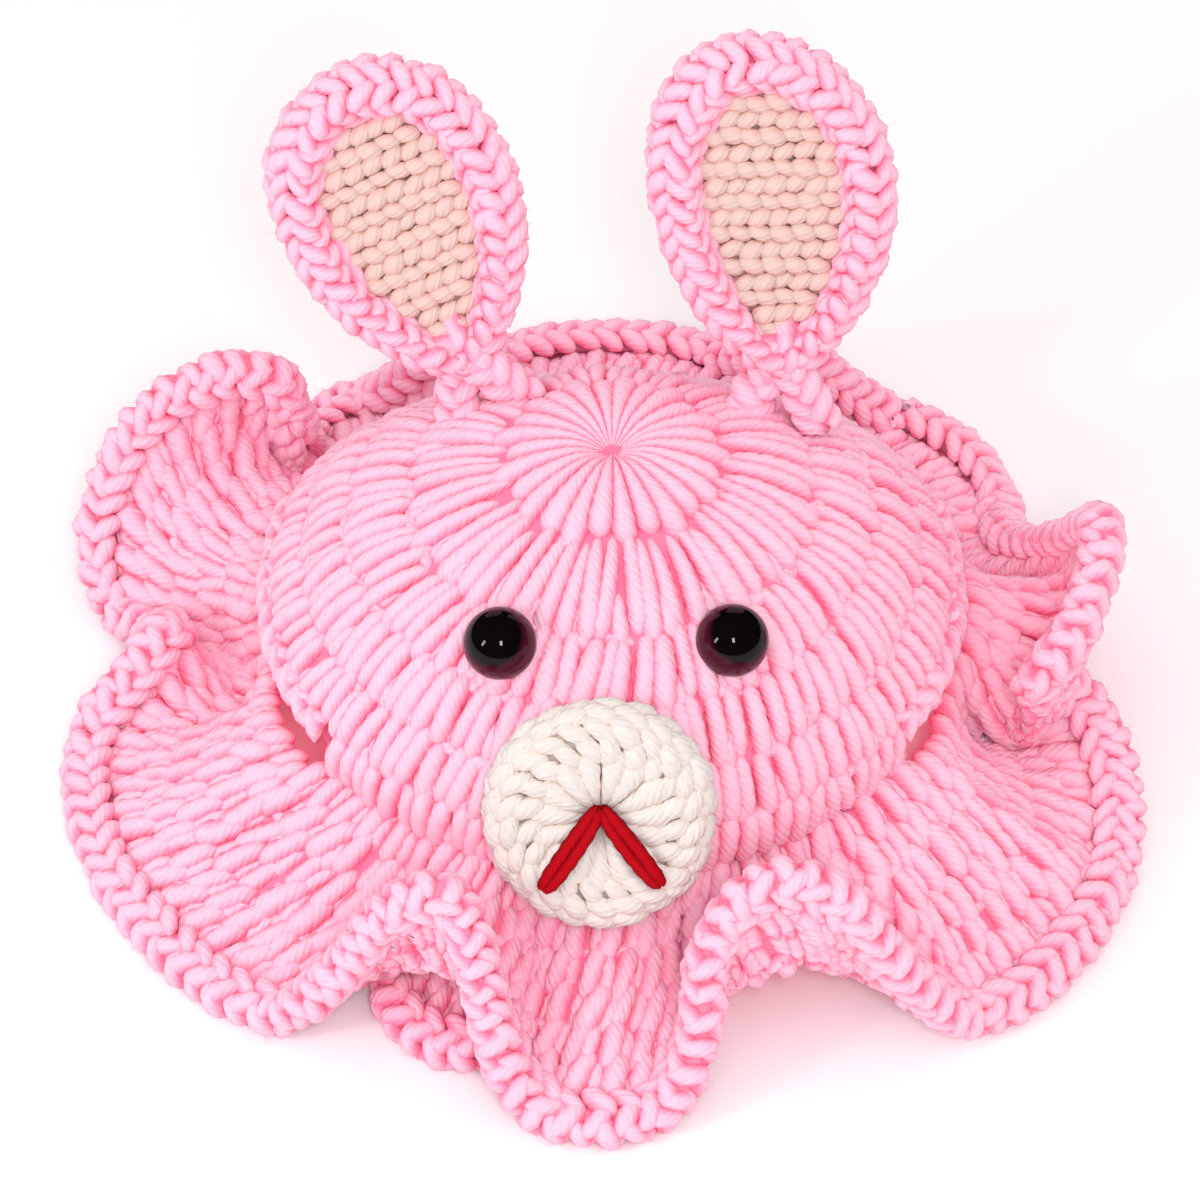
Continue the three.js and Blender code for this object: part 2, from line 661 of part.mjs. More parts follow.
// One straight stitch of thick yarn that lies on the muzzle, its ends sunk into the wool
function strokeGeometry(end) {
  const side = Math.sign(end.x);
  const from = new THREE.Vector2(side * MOUTH_SPREAD, MOUTH_TOP);
  const to = new THREE.Vector2(end.x, end.y);
  const along = to.clone().sub(from).normalize();
  const rows = [];
  const { least, from: waveFrom, to: waveTo } = STROKE_TAPER;
  for (let i = 0; i <= STROKE_STEPS; i += 1) {
    const share = i / STROKE_STEPS;
    const place = from.clone().lerp(to, share);
    const taper = least + (1 - least) * Math.sin(Math.PI * lerp(waveFrom, waveTo, share));
    const height = STROKE_HEIGHT + STROKE_ARCH * Math.sin(Math.PI * share);
    rows.push(disc(STROKE_RADIUS * taper, 0, STROKE_SIDES).map((point) => new THREE.Vector3(
      place.x - along.y * point.x,
      place.y + along.x * point.x,
      height + point.y)));
  }
  const stroke = toSolid(loft(rows).applyMatrix4(muzzleFrame()));
  return toGeometry(stroke.subtract(muzzleSolid(GAP)));
}

// Materials

function yarn(colour) {
  return new THREE.MeshStandardMaterial({ color: colour, roughness: 0.95, metalness: 0 });
}

const pinkYarn = yarn(0xf9b0cd);
const creamYarn = yarn(0xf8f0e6);
const peachYarn = yarn(0xf8dfcf);
const redYarn = yarn(0xcf1018);
const blackPlastic = new THREE.MeshStandardMaterial({ color: 0x0a0607, roughness: 0.08, metalness: 0 });
const clearPlastic = new THREE.MeshStandardMaterial({ color: 0xe9e6e0, roughness: 0.4, metalness: 0 });

// Assembly

const hat = new THREE.Group();
hat.position.set(AXIS_X, AXIS_Y, 0);

function addPiece(name, geometry, material) {
  const mesh = new THREE.Mesh(geometry, material);
  mesh.name = name;
  hat.add(mesh);
}

function addCrown() {
  let crown = toSolid(crownGeometry());
  for (const eye of EYES) crown = crown.subtract(postHole(eye));
  addPiece("crown", toGeometry(crown), pinkYarn);
}

function addBrim() {
  const fabric = toSolid(brimGeometry()).add(toSolid(tuckGeometry()));
  const hemFormer = toSolid(hemGeometry(GAP));
  addPiece("brim", toGeometry(mainBody(fabric.subtract(hemFormer))), pinkYarn);
  addPiece("hem_edging", hemGeometry(), pinkYarn);
}

function addEars(former) {
  for (const ear of EARS) {
    addPiece(ear.name, earGeometry(ear, former), pinkYarn);
    addPiece(`${ear.name}_lining`, liningGeometry(ear), peachYarn);
  }
}

function addFace(former) {
  for (const eye of EYES) {
    addPiece(`eye_${eye.name}`, eyeGeometry(eye, former), blackPlastic);
    addPiece(`eye_washer_${eye.name}`, washerGeometry(eye), clearPlastic);
  }
  const brimFormer = toSolid(brimGeometry(GAP));
  addPiece("muzzle", toGeometry(muzzleSolid().subtract(former).subtract(brimFormer)), creamYarn);
  for (const end of MOUTH_ENDS) addPiece(end.name, strokeGeometry(end), redYarn);
}

const former = crownFormer();
addCrown();
addBrim();
addEars(former);
addFace(former);

export default hat;
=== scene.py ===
import math

import bpy
import numpy as np
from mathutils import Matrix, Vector


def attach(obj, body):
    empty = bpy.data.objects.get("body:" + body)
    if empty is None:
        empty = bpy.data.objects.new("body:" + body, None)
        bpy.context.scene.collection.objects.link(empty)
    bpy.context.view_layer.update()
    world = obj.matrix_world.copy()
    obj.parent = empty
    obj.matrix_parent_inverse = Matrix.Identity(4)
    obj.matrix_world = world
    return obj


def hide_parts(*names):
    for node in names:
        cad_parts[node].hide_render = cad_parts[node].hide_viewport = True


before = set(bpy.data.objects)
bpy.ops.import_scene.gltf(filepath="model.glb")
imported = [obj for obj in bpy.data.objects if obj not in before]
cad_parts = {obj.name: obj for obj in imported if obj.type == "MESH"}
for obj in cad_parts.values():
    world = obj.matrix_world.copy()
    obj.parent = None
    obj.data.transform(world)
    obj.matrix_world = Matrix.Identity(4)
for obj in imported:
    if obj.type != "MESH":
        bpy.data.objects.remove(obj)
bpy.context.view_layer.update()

# A baby's hat in thick crochet yarn. Every stitch is a strand of yarn: a tube with twisted plies.
# Sizes are in millimetres round the crown's axis, with the face along -Y. An azimuth is measured
# from the face towards +X. Meshes are placed in metres in the part's frame when they are made.
MM = 0.001
AXIS = np.array([2.75, 5.0, 0.0])  # the crown's axis in the part's frame
RANDOM = np.random.default_rng(7)

FABRIC = 6.0  # thickness of the crocheted fabric
CROWN_TOP = 80.0
JOIN_RADIUS = 73.0
JOIN_HEIGHT = 26.0
BRIM_DEPTH = 52.0
HEM_REST = 2.4
HEM_RAISE = 1.2  # the hem's middle lies this much higher where it rests, for its strands' thickness

# Rounds of the crown from the top down: radius and drop of the lower edge, outside, over the face
# and the sides, then the same at the back
CROWN_ROUNDS = np.array([
    (26, 6, 26, 6.6),
    (44.5, 14, 42, 21.5),
    (57.5, 21.8, 54, 33.5),
    (67.5, 32.5, 64, 43.5),
    (74.5, 42.5, 71, 50),
    (76, 53.7, 76, 53.7),
])
FIRST_ROUND_STITCHES = 26
CROWN_PITCH = 8.4  # width of one tall stitch
BRIM_PITCH = 6.7
SLOPE_FROM, SLOPE_FULL = 105.0, 165.0
SLITS = ((50, 113), (-114, -50))
SLIT_RAMP = 9.0
SLIT_EDGE = 0.1  # where the rope over a slit runs, in rounds below the fifth
SLIT_ROPE = 2.0  # how far it stands out from the fabric's middle
SLIT_ROWS = ((28, 0.25), (-28, -0.25))  # slant and shift of its two rows of strands
SLIT_PITCH, SLIT_REACH, SLIT_STRAND, SLIT_BEND = 6.4, 10.0, 2.4, 3.0

# Fold lines of the brim: azimuth at the join, azimuth of the hem, radius and height of the hem
FOLDS = np.array([
    (-180, -180, 109, 2.4), (-167, -167, 107, 2.4), (-160.5, -161, 98, 15), (-155, -156, 92, 27),
    (-149.5, -151, 98, 15), (-142, -146, 107, 2.4), (-133, -138, 105, 3), (-127, -132, 96, 13),
    (-122, -128.5, 90, 30), (-118, -126, 90, 44), (-113.5, -122, 99, 48), (-109, -116, 111, 42),
    (-104.5, -111, 118, 30), (-100, -106.5, 120, 15), (-96, -101.5, 115, 6), (-92, -97.5, 105, 6),
    (-88.5, -94.5, 98, 12), (-85, -90.5, 98, 18), (-81, -86.5, 104, 14), (-77, -83, 112.5, 7),
    (-71, -76, 117, 2.4), (-61, -65, 119, 2.4), (-50, -52.5, 118.5, 2.4), (-40, -42, 117.5, 2.4),
    (-33, -35.5, 114, 6), (-29, -30.5, 108, 20), (-25.5, -26.5, 103, 36), (-21.5, -21.6, 99, 43),
    (-17.5, -17, 101, 40), (-14, -14, 107, 28), (-11, -11, 113.5, 13), (-7, -6.6, 118, 4.4),
    (0, 0, 119, 2.4), (6.5, 5.9, 115, 5.5), (10.2, 9.5, 107, 16), (13.5, 11.4, 99, 30),
    (17.5, 16, 94.5, 40.5), (22, 22, 97, 44.5), (26, 27.5, 104.5, 38), (29.5, 31.8, 112.5, 21),
    (34, 37.4, 118, 5.5), (42, 46, 121.5, 2.4), (53, 57, 120.5, 2.4), (62.5, 67.5, 117, 4.4),
    (68, 74.5, 112.5, 8), (72, 80, 106, 13), (76, 81, 99, 20), (79.5, 76, 93.5, 27),
    (83, 73, 93.5, 34.5), (87, 76.5, 98.5, 41.5), (91.5, 83.5, 102.5, 46.5), (96, 90, 104.5, 49.5),
    (100, 95, 104, 45), (105, 100, 101, 32), (110, 106, 98, 18), (116, 114, 98, 9),
    (123, 122, 105, 3), (132, 131.5, 109, 2.4), (141, 140, 107, 2.6), (148, 146, 98, 15),
    (153.5, 151, 92, 27), (160, 158, 98, 15), (168, 168, 107, 2.4),
])
SAG_OUTWARD = 0.3

# The pleat tucked under the crest left of the face: azimuth and reach of its hem
TUCK = np.array([(-30.5, 94), (-28, 101), (-24.5, 106), (-20.5, 108.5), (-16.5, 108.5), (-13, 105),
                 (-10.5, 99)])
TUCK_ROOT = (84.5, 12.0)
# Painted shadow: the pleat's strands are made this much deeper, for the crest's shadow over them
TUCK_SHADE = -0.1
TUCK_STITCHES = 6
TUCK_HEM = 3.0  # the hem's middle lies this far inside the reach
TUCK_SKIN, TUCK_LAYERS = 0.6, (0, 0.3, 0.6, 0.9)  # half thickness of its skin, and places along it

EARS = (
    {"name": "ear_left", "crossing": (-31.5, 25.4, 80.5), "lean": -23, "bend": 1, "length": 66},
    {"name": "ear_right", "crossing": (35.6, 24.6, 80), "lean": -1, "bend": -6, "length": 69},
)
EAR_LEAN_BACK = 25.0
FOOT_DROP = 16.0

# Teardrop outlines of the ear from the middle of its front over the rim to the middle of its back:
# half width, bottom above the crossing, top below the ear's top, how pointed the bottom is, depth
EAR_DISH = np.array([
    (6, 20, 24, 0.7, -3.4), (13.2, 3, 13.2, 0.7, -1.6), (15, 1, 11.2, 0.6, 3.6),
    (19.4, -2, 6.6, 0.45, 6.2), (24.4, -5, 1.4, 0.35, 3.2), (25.7, -6, 0, 0.35, -1),
    (23, -4, 2.6, 0.35, -5.2), (14, 4, 12, 0.5, -7),
])
EAR_LINING = np.array([
    (6, 20, 24, 0.7, -0.2), (11.6, 5.2, 14.6, 0.7, 1.5), (12.6, 4.2, 13.7, 0.7, -1.2),
    (6, 20, 24, 0.7, -3),
])

EYES = (("eye_left", -27.2), ("eye_right", 29.2))
EYE_RADIUS = 7.5
EYE_DISTANCE = 49.0
EYE_STANDOFF = 1.6
MUZZLE_CENTRE = (-2.4, -71.0, 43.5)
MUZZLE_TILT = 33.0
MOUTH_ENDS = (("mouth_left", -11.8, -14.6), ("mouth_right", 12.4, -13.6))
MOUTH_TOP = 1.2

SIDES = 8  # corners round a strand: four plies, each a ridge and a groove
PLY_RISE = 0.06  # how far a ply's ridge stands out, as a share of the strand's radius
PLY_TURN = 13.0  # length of strand in which the plies turn once
TIP_REACH = 0.25  # how far a strand's tip lies past its last ring, in steps
# A strand's painted shade, from 0, deep, to 1, light, which stands for the shade in the crevices between
# strands: at its sides, how fast it falls off there, at its ends, at its tips
SIDE_SHADE, SHADE_FALL, END_SHADE, TIP_SHADE = 0.05, 1.6, 0.45, 0.3


def unit(v):
    return v / np.maximum(np.linalg.norm(v, axis=-1, keepdims=True), 1e-9)


def smoothstep(x, low, high):
    t = np.clip((x - low) / (high - low), 0, 1)
    return t * t * (3 - 2 * t)


def at_azimuth(degrees, radius, height):
    angle = np.radians(degrees)
    return np.stack(np.broadcast_arrays(radius * np.sin(angle), -radius * np.cos(angle), height), -1)


def scatter(amount, count):
    """A random amount for each of count strands."""
    return RANDOM.normal(0, amount, (count, 1))


def once_round(count):
    """Angles evenly spaced once round, in radians."""
    return np.linspace(0, 2 * np.pi, count, endpoint=False)


# Strands of yarn
# A batch holds many strands alike: points and outward normals along each of them (strand, step, xyz),
# and the half width and half height of its section at each step.

def round_ends(t, blunt, least):
    """Share of the full section along a strand, full in the middle and rounded off at both ends."""
    return np.sqrt(np.maximum(1 - np.abs(2 * t - 1) ** blunt, least ** 2))


def steps_along(count, crowding=0.7):
    """Places along a strand from 0 to 1, closer together towards its ends."""
    u = np.linspace(0, 1, count)[None]
    return u - crowding * np.sin(2 * np.pi * u) / (2 * np.pi)


SQUARE = np.array([[0, 0], [1, 0], [1, 1], [0, 1]], float)  # UVs of a face


def ring_quads(rings, sides):
    """The quads between rings of points."""
    ring = np.arange(sides)
    following = (ring + 1) % sides
    row = np.arange(rings - 1)[:, None] * sides
    corners = [row + ring, row + following, row + sides + following, row + sides + ring]
    return np.stack(corners, -1).reshape(-1, 4)


def end_fans(rings, sides):
    """The triangles that close the first and last ring. Their tips follow the rings' points."""
    ring = np.arange(sides)
    following = (ring + 1) % sides
    last, tip = (rings - 1) * sides, rings * sides
    near = np.stack([following, ring, np.full(sides, tip)], -1)
    far = np.stack([last + ring, last + following, np.full(sides, tip + 1)], -1)
    return near, far


def repeat_faces(faces, count, size):
    """The same faces once for each of count shapes that have size points each."""
    base = np.arange(count)[:, None, None] * size
    return (faces[None] + base).reshape(-1, faces.shape[-1])


def strand_mesh(points, normals, half_width, half_height, shade_shift=0.0):
    """Vertices, faces, UVs and painted shade of a batch of strands."""
    count, steps = points.shape[:2]
    tangent = unit(np.gradient(points, axis=1))
    normal = unit(normals - (normals * tangent).sum(-1, keepdims=True) * tangent)
    side = np.cross(tangent, normal)
    length = np.zeros((count, steps))
    length[:, 1:] = np.cumsum(np.linalg.norm(np.diff(points, axis=1), axis=-1), axis=1)
    turn = RANDOM.uniform(0, 2 * np.pi, (count, 1)) - 2 * np.pi * length / PLY_TURN
    ring = np.arange(SIDES)
    angle = turn[..., None] + ring * (2 * np.pi / SIDES)
    ridge = 1 + PLY_RISE * np.where(ring % 2 == 0, 1, -1)
    out = (half_height[..., None] * ridge * np.cos(angle))[..., None] * normal[:, :, None]
    across = (half_width[..., None] * ridge * np.sin(angle))[..., None] * side[:, :, None]
    tube = points[:, :, None] + out + across
    tips = points[:, [0, -1]] + (points[:, [0, -1]] - points[:, [1, -2]]) * TIP_REACH
    size = steps * SIDES + 2
    fans = end_fans(steps, SIDES)

    share = length / np.maximum(length[:, -1:], 1e-6)
    low, high = ring / SIDES, (ring + 1) / SIDES
    quad_u = np.tile(np.stack([low, high, high, low], -1), (steps - 1, 1))
    quad_step = np.repeat(np.arange(steps - 1), SIDES)[:, None] + [0, 0, 1, 1]
    quad_uv = np.stack(np.broadcast_arrays(quad_u[None], share[:, quad_step]), -1)
    fan_uv = []
    for v, corners in enumerate(([high, low, (low + high) / 2], [low, high, (low + high) / 2])):
        u = np.stack(corners, -1)
        fan_uv.append(np.tile(np.stack([u, np.full_like(u, v)], -1), (count, 1, 1)))

    # Painted shade: light on a strand's top, deeper down its sides and towards its ends and tips, where it
    # sinks into the crevices between strands
    facing = np.abs(np.cos(angle)) ** SHADE_FALL
    middle = round_ends(share, 4, 0.2)[..., None]
    shade = (SIDE_SHADE + (1 - SIDE_SHADE) * facing) * (END_SHADE + (1 - END_SHADE) * middle)
    shade = np.concatenate([shade.reshape(count, -1), np.full((count, 2), TIP_SHADE)], 1)
    outward = unit(np.concatenate([(out + across).reshape(count, -1, 3), normal[:, [0, -1]]], 1))
    return {
        "vertices": np.concatenate([tube.reshape(count, -1, 3), tips], 1).reshape(-1, 3),
        "size": size,
        "quads": repeat_faces(ring_quads(steps, SIDES), count, size),
        "triangles": np.concatenate([repeat_faces(fan, count, size) for fan in fans]),
        "quad_uv": quad_uv.reshape(-1, 4, 2),
        "triangle_uv": np.concatenate(fan_uv),
        "shade": shade.ravel() + shade_shift,
        "own": np.repeat(RANDOM.uniform(0, 1, count), size),
        "outward": outward.reshape(-1, 3),
    }


def sheet_mesh(grid, joined, shade=0.0):
    """A closed skin over a grid of points (row, column, xyz) whose rows are loops. Rows joined end to
    end make a ring; otherwise a fan closes each end."""
    rows, columns = grid.shape[:2]
    vertices = grid.reshape(-1, 3)
    if joined:
        quads = ring_quads(rows + 1, columns) % len(vertices)
        triangles = np.zeros((0, 3), int)
    else:
        quads = ring_quads(rows, columns)
        triangles = np.concatenate(end_fans(rows, columns))
        vertices = np.concatenate([vertices, grid[[0, -1]].mean(1)])
    corners = np.concatenate([quads[:, [0, 1, 2]], quads[:, [0, 2, 3]], triangles])
    a, b, c = (vertices[corners[:, k]] for k in range(3))
    if (a * np.cross(b, c)).sum() < 0:  # inside out
        quads, triangles = quads[:, ::-1], triangles[:, ::-1]
    return {
        "vertices": vertices,
        "size": len(vertices),
        "quads": quads,
        "triangles": triangles,
        "quad_uv": np.tile(SQUARE, (len(quads), 1, 1)),
        "triangle_uv": np.tile(np.array([[0, 0], [1, 0], [0.5, 1]]), (len(triangles), 1, 1)),
        # The whole skin has one painted shade, deep unless given, for the shade between the strands over it
        "shade": np.full(len(vertices), shade),
        "own": np.full(len(vertices), 0.5),
    }


ATLAS_MARGIN = 0.04  # empty edge of a strand's cell in the atlas, as a share of the cell


def make_piece(name, parts, material, node=None):
    """Joins meshes into one object, in metres in the part's frame, and gives it to the hat."""
    offset, cells = 0, 0
    loops, corner_counts, uvs, cell_ids = [], [], [], []
    for part in parts:
        for faces, face_uv in (("quads", "quad_uv"), ("triangles", "triangle_uv")):
            corners = part[faces].shape[1]
            loops.append((part[faces] + offset).ravel())
            corner_counts.append(np.full(len(part[faces]), corners))
            uvs.append(part[face_uv].reshape(-1, 2))
            cell_ids.append(np.repeat(part[faces][:, 0] // part["size"] + cells, corners))
        offset += len(part["vertices"])
        cells += len(part["vertices"]) // part["size"]
    points = np.concatenate([part["vertices"] for part in parts])
    points[:, 2] = np.maximum(points[:, 2], 0)  # the table
    points = (points + AXIS) * MM
    loop = np.concatenate(loops).astype(np.int32)
    sizes = np.concatenate(corner_counts).astype(np.int32)
    uv = np.concatenate(uvs)
    cell = np.concatenate(cell_ids)

    mesh = bpy.data.meshes.new(name)
    mesh.vertices.add(len(points))
    mesh.vertices.foreach_set("co", points.astype(np.float32).ravel())
    mesh.loops.add(len(loop))
    mesh.loops.foreach_set("vertex_index", loop)
    mesh.polygons.add(len(sizes))
    starts = np.concatenate([[0], np.cumsum(sizes)[:-1]]).astype(np.int32)
    mesh.polygons.foreach_set("loop_start", starts)
    mesh.polygons.foreach_set("use_smooth", np.ones(len(sizes), bool))
    for key in ("shade", "own"):
        values = np.concatenate([part[key] for part in parts])
        layer = mesh.attributes.new(key, "FLOAT", "POINT")
        layer.data.foreach_set("value", values.astype(np.float32))
    strand_uv = mesh.uv_layers.new(name="strand")
    strand_uv.data.foreach_set("uv", uv.astype(np.float32).ravel())
    across = math.ceil(math.sqrt(cells))
    corner = np.stack([cell % across, cell // across], -1)
    atlas = (corner + ATLAS_MARGIN + (1 - 2 * ATLAS_MARGIN) * uv) / across
    atlas_uv = mesh.uv_layers.new(name="OFBake")
    atlas_uv.data.foreach_set("uv", atlas.astype(np.float32).ravel())
    mesh.update(calc_edges=True)
    mesh.validate()
    mesh.materials.append(material)
    piece = bpy.data.objects.new(name, mesh)
    bpy.context.scene.collection.objects.link(piece)
    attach(piece, "root")
    if node:
        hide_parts(node)
    return piece


# Stitches

SHORT_STEPS, LONG_STEPS, HEAD_STEPS = 11, 18, 7  # steps along a strand
LONG = 0.9  # a long strand covers more than this share of a stitch
LONG_ENDS, SHORT_ENDS = (7, 0.3), (3, 0.4)  # how blunt a strand's ends are, and the least share there
STRAND_ARCH, ARCH_ROUNDNESS = 2.1, 0.45  # how far a strand's middle rises over its ends, and how evenly
STRAND_SINK = 1.6  # depth of its ends
THINNEST, WIDEST, THICKEST = 0.7, 3.2, 2.6  # half widths and half height of a strand
FLATTENING = 0.8  # half height over half width, beyond the thinnest
# How the strands of tall stitches vary: place along the stitch, place and lean beside it in stitch
# widths, share of the size, lift
ALONG_SCATTER, SIDE_SCATTER, LEAN_SCATTER, SIZE_SCATTER, LIFT_SCATTER = 0.04, 0.06, 0.14, 0.08, 0.3
# The loop between two stitches: its radius, middle beside and along the stitch, how far it runs
# beside and along, its arch and depth
HEAD_RADIUS = 2.0
HEAD_SIDE, HEAD_ALONG = 0.5, 0.99
HEAD_RUN, HEAD_SLOPE = 0.8, 0.12
HEAD_ARCH, HEAD_SINK = 0.8, 1.2
# Slanted rows: arch and depth of a strand, and how place, slant, lift and size vary
ROW_ARCH, ROW_SINK = 0.8, 0.5
ROW_PLACE_SCATTER, ROW_SLANT_SCATTER, ROW_LIFT_SCATTER, ROW_SIZE_SCATTER = 0.05, 7.0, 0.2, 0.07
# The strands of a tall stitch: where each starts and ends along the stitch, where it starts and ends
# beside the stitch's middle and its half width there, in stitch widths, and how far it stands out
BRIM_STRANDS = (
    (-0.11, 0.60, 0.25, -0.22, 0.42, 0.37, 0.4),
    (0.38, 1.03, 0.28, -0.18, 0.37, 0.42, 0.4),
    (0.00, 0.50, 0.58, 0.32, 0.31, 0.28, -0.5),
    (0.50, 1.00, -0.26, -0.50, 0.28, 0.31, -0.5),
)
CROWN_STRANDS = (
    (-0.12, 0.97, -0.15, -0.33, 0.31, 0.27, 0.3),
    (-0.08, 1.04, 0.33, 0.10, 0.31, 0.31, 0.2),
    (0.42, 1.00, 0.52, 0.42, 0.18, 0.24, -0.6),
)


def tall_stitches(place, count, strands, shade_shift=0.0):
    """A row of tall stitches: fat slanting strands that overlap, and a small loop between one stitch's
    foot and the next.
    place(x, t, lift) gives points and normals: x in stitch widths, t along the stitch."""
    parts = []
    for start, finish, near, far, wide_near, wide_far, stand in strands:
        t = steps_along(LONG_STEPS, 0.5) if finish - start > LONG else steps_along(SHORT_STEPS)
        along = start + (finish - start) * t + scatter(ALONG_SCATTER, count)
        x = near + (far - near) * t + scatter(SIDE_SCATTER, count)
        x = x + scatter(LEAN_SCATTER, count) * (t - 0.5)
        left, right = (place(x + side, along, 0 * x)[0] for side in (-0.5, 0.5))
        width = np.linalg.norm(right - left, axis=-1)
        ends = round_ends(t, *LONG_ENDS) * (1 + scatter(SIZE_SCATTER, count))
        half_width = np.clip((wide_near + (wide_far - wide_near) * t) * width, THINNEST, WIDEST)
        half_height = np.minimum(THICKEST, THINNEST + FLATTENING * half_width)
        lift = STRAND_ARCH * np.sin(np.pi * t) ** ARCH_ROUNDNESS - STRAND_SINK + stand
        points, normals = place(x, along, lift + scatter(LIFT_SCATTER, count))
        parts.append(strand_mesh(points, normals, half_width * ends, half_height * ends, shade_shift))
    t = steps_along(HEAD_STEPS)
    x = HEAD_SIDE + HEAD_RUN * (t - 0.5) + scatter(0.08, count)
    along = HEAD_ALONG + HEAD_SLOPE * (t - 0.5) + scatter(0.03, count)
    lift = HEAD_ARCH * np.sin(np.pi * t) + (scatter(LIFT_SCATTER, count) - HEAD_SINK)
    points, normals = place(x, along, lift)
    radius = HEAD_RADIUS * (round_ends(t, *SHORT_ENDS) * (1 + scatter(SIZE_SCATTER, count)))
    parts.append(strand_mesh(points, normals, radius, radius, shade_shift))
    return parts


def slanted_row(path, normals, pitch, slant, reach, radius, bend, closed, shift=0.0, shade_shift=0.0):
    """Short fat strands along a line on a surface, turned by slant degrees from it. They bend over an
    edge of the radius bend."""
    if closed:
        path, normals = np.concatenate([path, path[:1]]), np.concatenate([normals, normals[:1]])
    steps = np.linalg.norm(np.diff(path, axis=0), axis=-1)
    along = np.concatenate([[0], np.cumsum(steps)])
    total = along[-1]
    count = max(round(total / pitch), 1)

    def sample(values, distance):
        distance = np.mod(distance, total) if closed else np.clip(distance, 0, total)
        return np.stack([np.interp(distance, along, values[:, axis]) for axis in range(3)], -1)

    t = steps_along(SHORT_STEPS)
    centre = (np.arange(count) + 0.5 + shift)[:, None] * total / count
    centre = centre + scatter(ROW_PLACE_SCATTER * pitch, count)
    turn = np.radians(slant + scatter(ROW_SLANT_SCATTER, count))
    distance = centre + (t - 0.5) * reach * np.cos(turn)
    sideways = (t - 0.5) * reach * np.sin(turn)
    normal = unit(sample(normals, distance))
    tangent = unit(sample(path, distance + 0.4) - sample(path, distance - 0.4))
    side = unit(np.cross(tangent, normal))
    normal = np.cross(side, tangent)
    angle = (sideways / bend)[..., None]
    lift = (ROW_ARCH * np.sin(np.pi * t) - ROW_SINK + scatter(ROW_LIFT_SCATTER, count))[..., None]
    facing = normal * np.cos(angle) + side * np.sin(angle)
    points = sample(path, distance) - normal * bend + facing * (bend + lift)
    size = round_ends(t, *SHORT_ENDS) * (1 + scatter(ROW_SIZE_SCATTER, count))
    return strand_mesh(points, facing, radius * size, radius * size, shade_shift)


# Crown

def crown_outline(azimuth):
    """Radius and height of the crown's outline at the chain lines, from the top down."""
    azimuth = np.asarray(azimuth, float)
    away = np.abs((azimuth + 180) % 360 - 180)
    back = smoothstep(away, SLOPE_FROM, SLOPE_FULL)[..., None]
    radius = CROWN_ROUNDS[:, 0] * (1 - back) + CROWN_ROUNDS[:, 2] * back
    height = CROWN_TOP - CROWN_ROUNDS[:, 1] * (1 - back) - CROWN_ROUNDS[:, 3] * back
    top = np.zeros_like(radius[..., :1])
    return np.concatenate([top, radius], -1), np.concatenate([top + CROWN_TOP, height], -1)


def catmull(values, s):
    """A smooth line through values (..., knots) at s, counted in knots."""
    count = values.shape[-1]
    index = np.clip(np.floor(s).astype(int), 0, count - 2)
    t = s - index

    def knot(shift):
        at = np.clip(index + shift, 0, count - 1)
        return np.take_along_axis(values, at[..., None], -1)[..., 0]

    a, b, c, d = knot(-1), knot(0), knot(1), knot(2)
    a = np.where(index == 0, 2 * b - c, a)
    d = np.where(index == count - 2, 2 * c - b, d)
    square, cube = 2 * a - 5 * b + 4 * c - d, 3 * b - a - 3 * c + d
    value = 0.5 * (2 * b + (c - a) * t + square * t ** 2 + cube * t ** 3)
    slope = 0.5 * ((c - a) + 2 * square * t + 3 * cube * t ** 2)
    return value, slope


def crown_at(azimuth, s, lift):
    """Points and normals of the crown: s counts rounds from the top, lift is measured outward."""
    azimuth, s, lift = np.broadcast_arrays(np.asarray(azimuth, float), s, lift)
    radii, heights = crown_outline(azimuth)
    radius, run = catmull(radii, s)
    height, fall = catmull(heights, s)
    # Inside the first round the outline is a shallow cap
    cap, drop = s < 1, CROWN_TOP - heights[..., 1]
    height = np.where(cap, CROWN_TOP - drop * s ** 2, height)
    fall = np.where(cap, -2 * s * drop, fall)
    length = np.hypot(run, fall)
    radial, up = -fall / length, run / length
    point = at_azimuth(azimuth, radius + radial * lift, height + up * lift)
    angle = np.radians(azimuth)
    normal = np.stack([radial * np.sin(angle), -radial * np.cos(angle), up], -1)
    return point, normal, radius


def slit_share(azimuth):
    """1 over a slit, 0 away from it, with a short ramp between."""
    azimuth = (np.asarray(azimuth, float) + 180) % 360 - 180
    share = np.zeros_like(azimuth)
    for low, high in SLITS:
        enter = smoothstep(azimuth, low, low + SLIT_RAMP)
        leave = smoothstep(azimuth, high - SLIT_RAMP, high)
        share = np.maximum(share, enter * (1 - leave))
    return share


DIMPLE_DEPTH, BACKING_DIMPLE, DIMPLE_REACH = 2.2, 2.0, 0.35  # the last in rounds from the middle
FIRST_ENDS = (0.93, 1.04)  # where the first round's stitches end in turn, in rounds
FIRST_ARCH, FIRST_SINK, FIRST_STEPS = 1.2, 0.3, 22
ROUND_SHARE = 0.58  # half width of a stitch that radiates, as a share of its room
BACKING_HALF = 0.5  # half the thickness of the skin behind the stitches
ROUND_SHIFT = 0.37  # each round starts this share of a stitch further on
PITCH_SCATTER = 0.04  # how unevenly the stitches stand, in stitch widths


def radiating_half(radius, count):
    """Half width of each of count stitches that radiate from a middle."""
    return np.clip(ROUND_SHARE * 2 * np.pi * radius / count, 0.5, WIDEST)


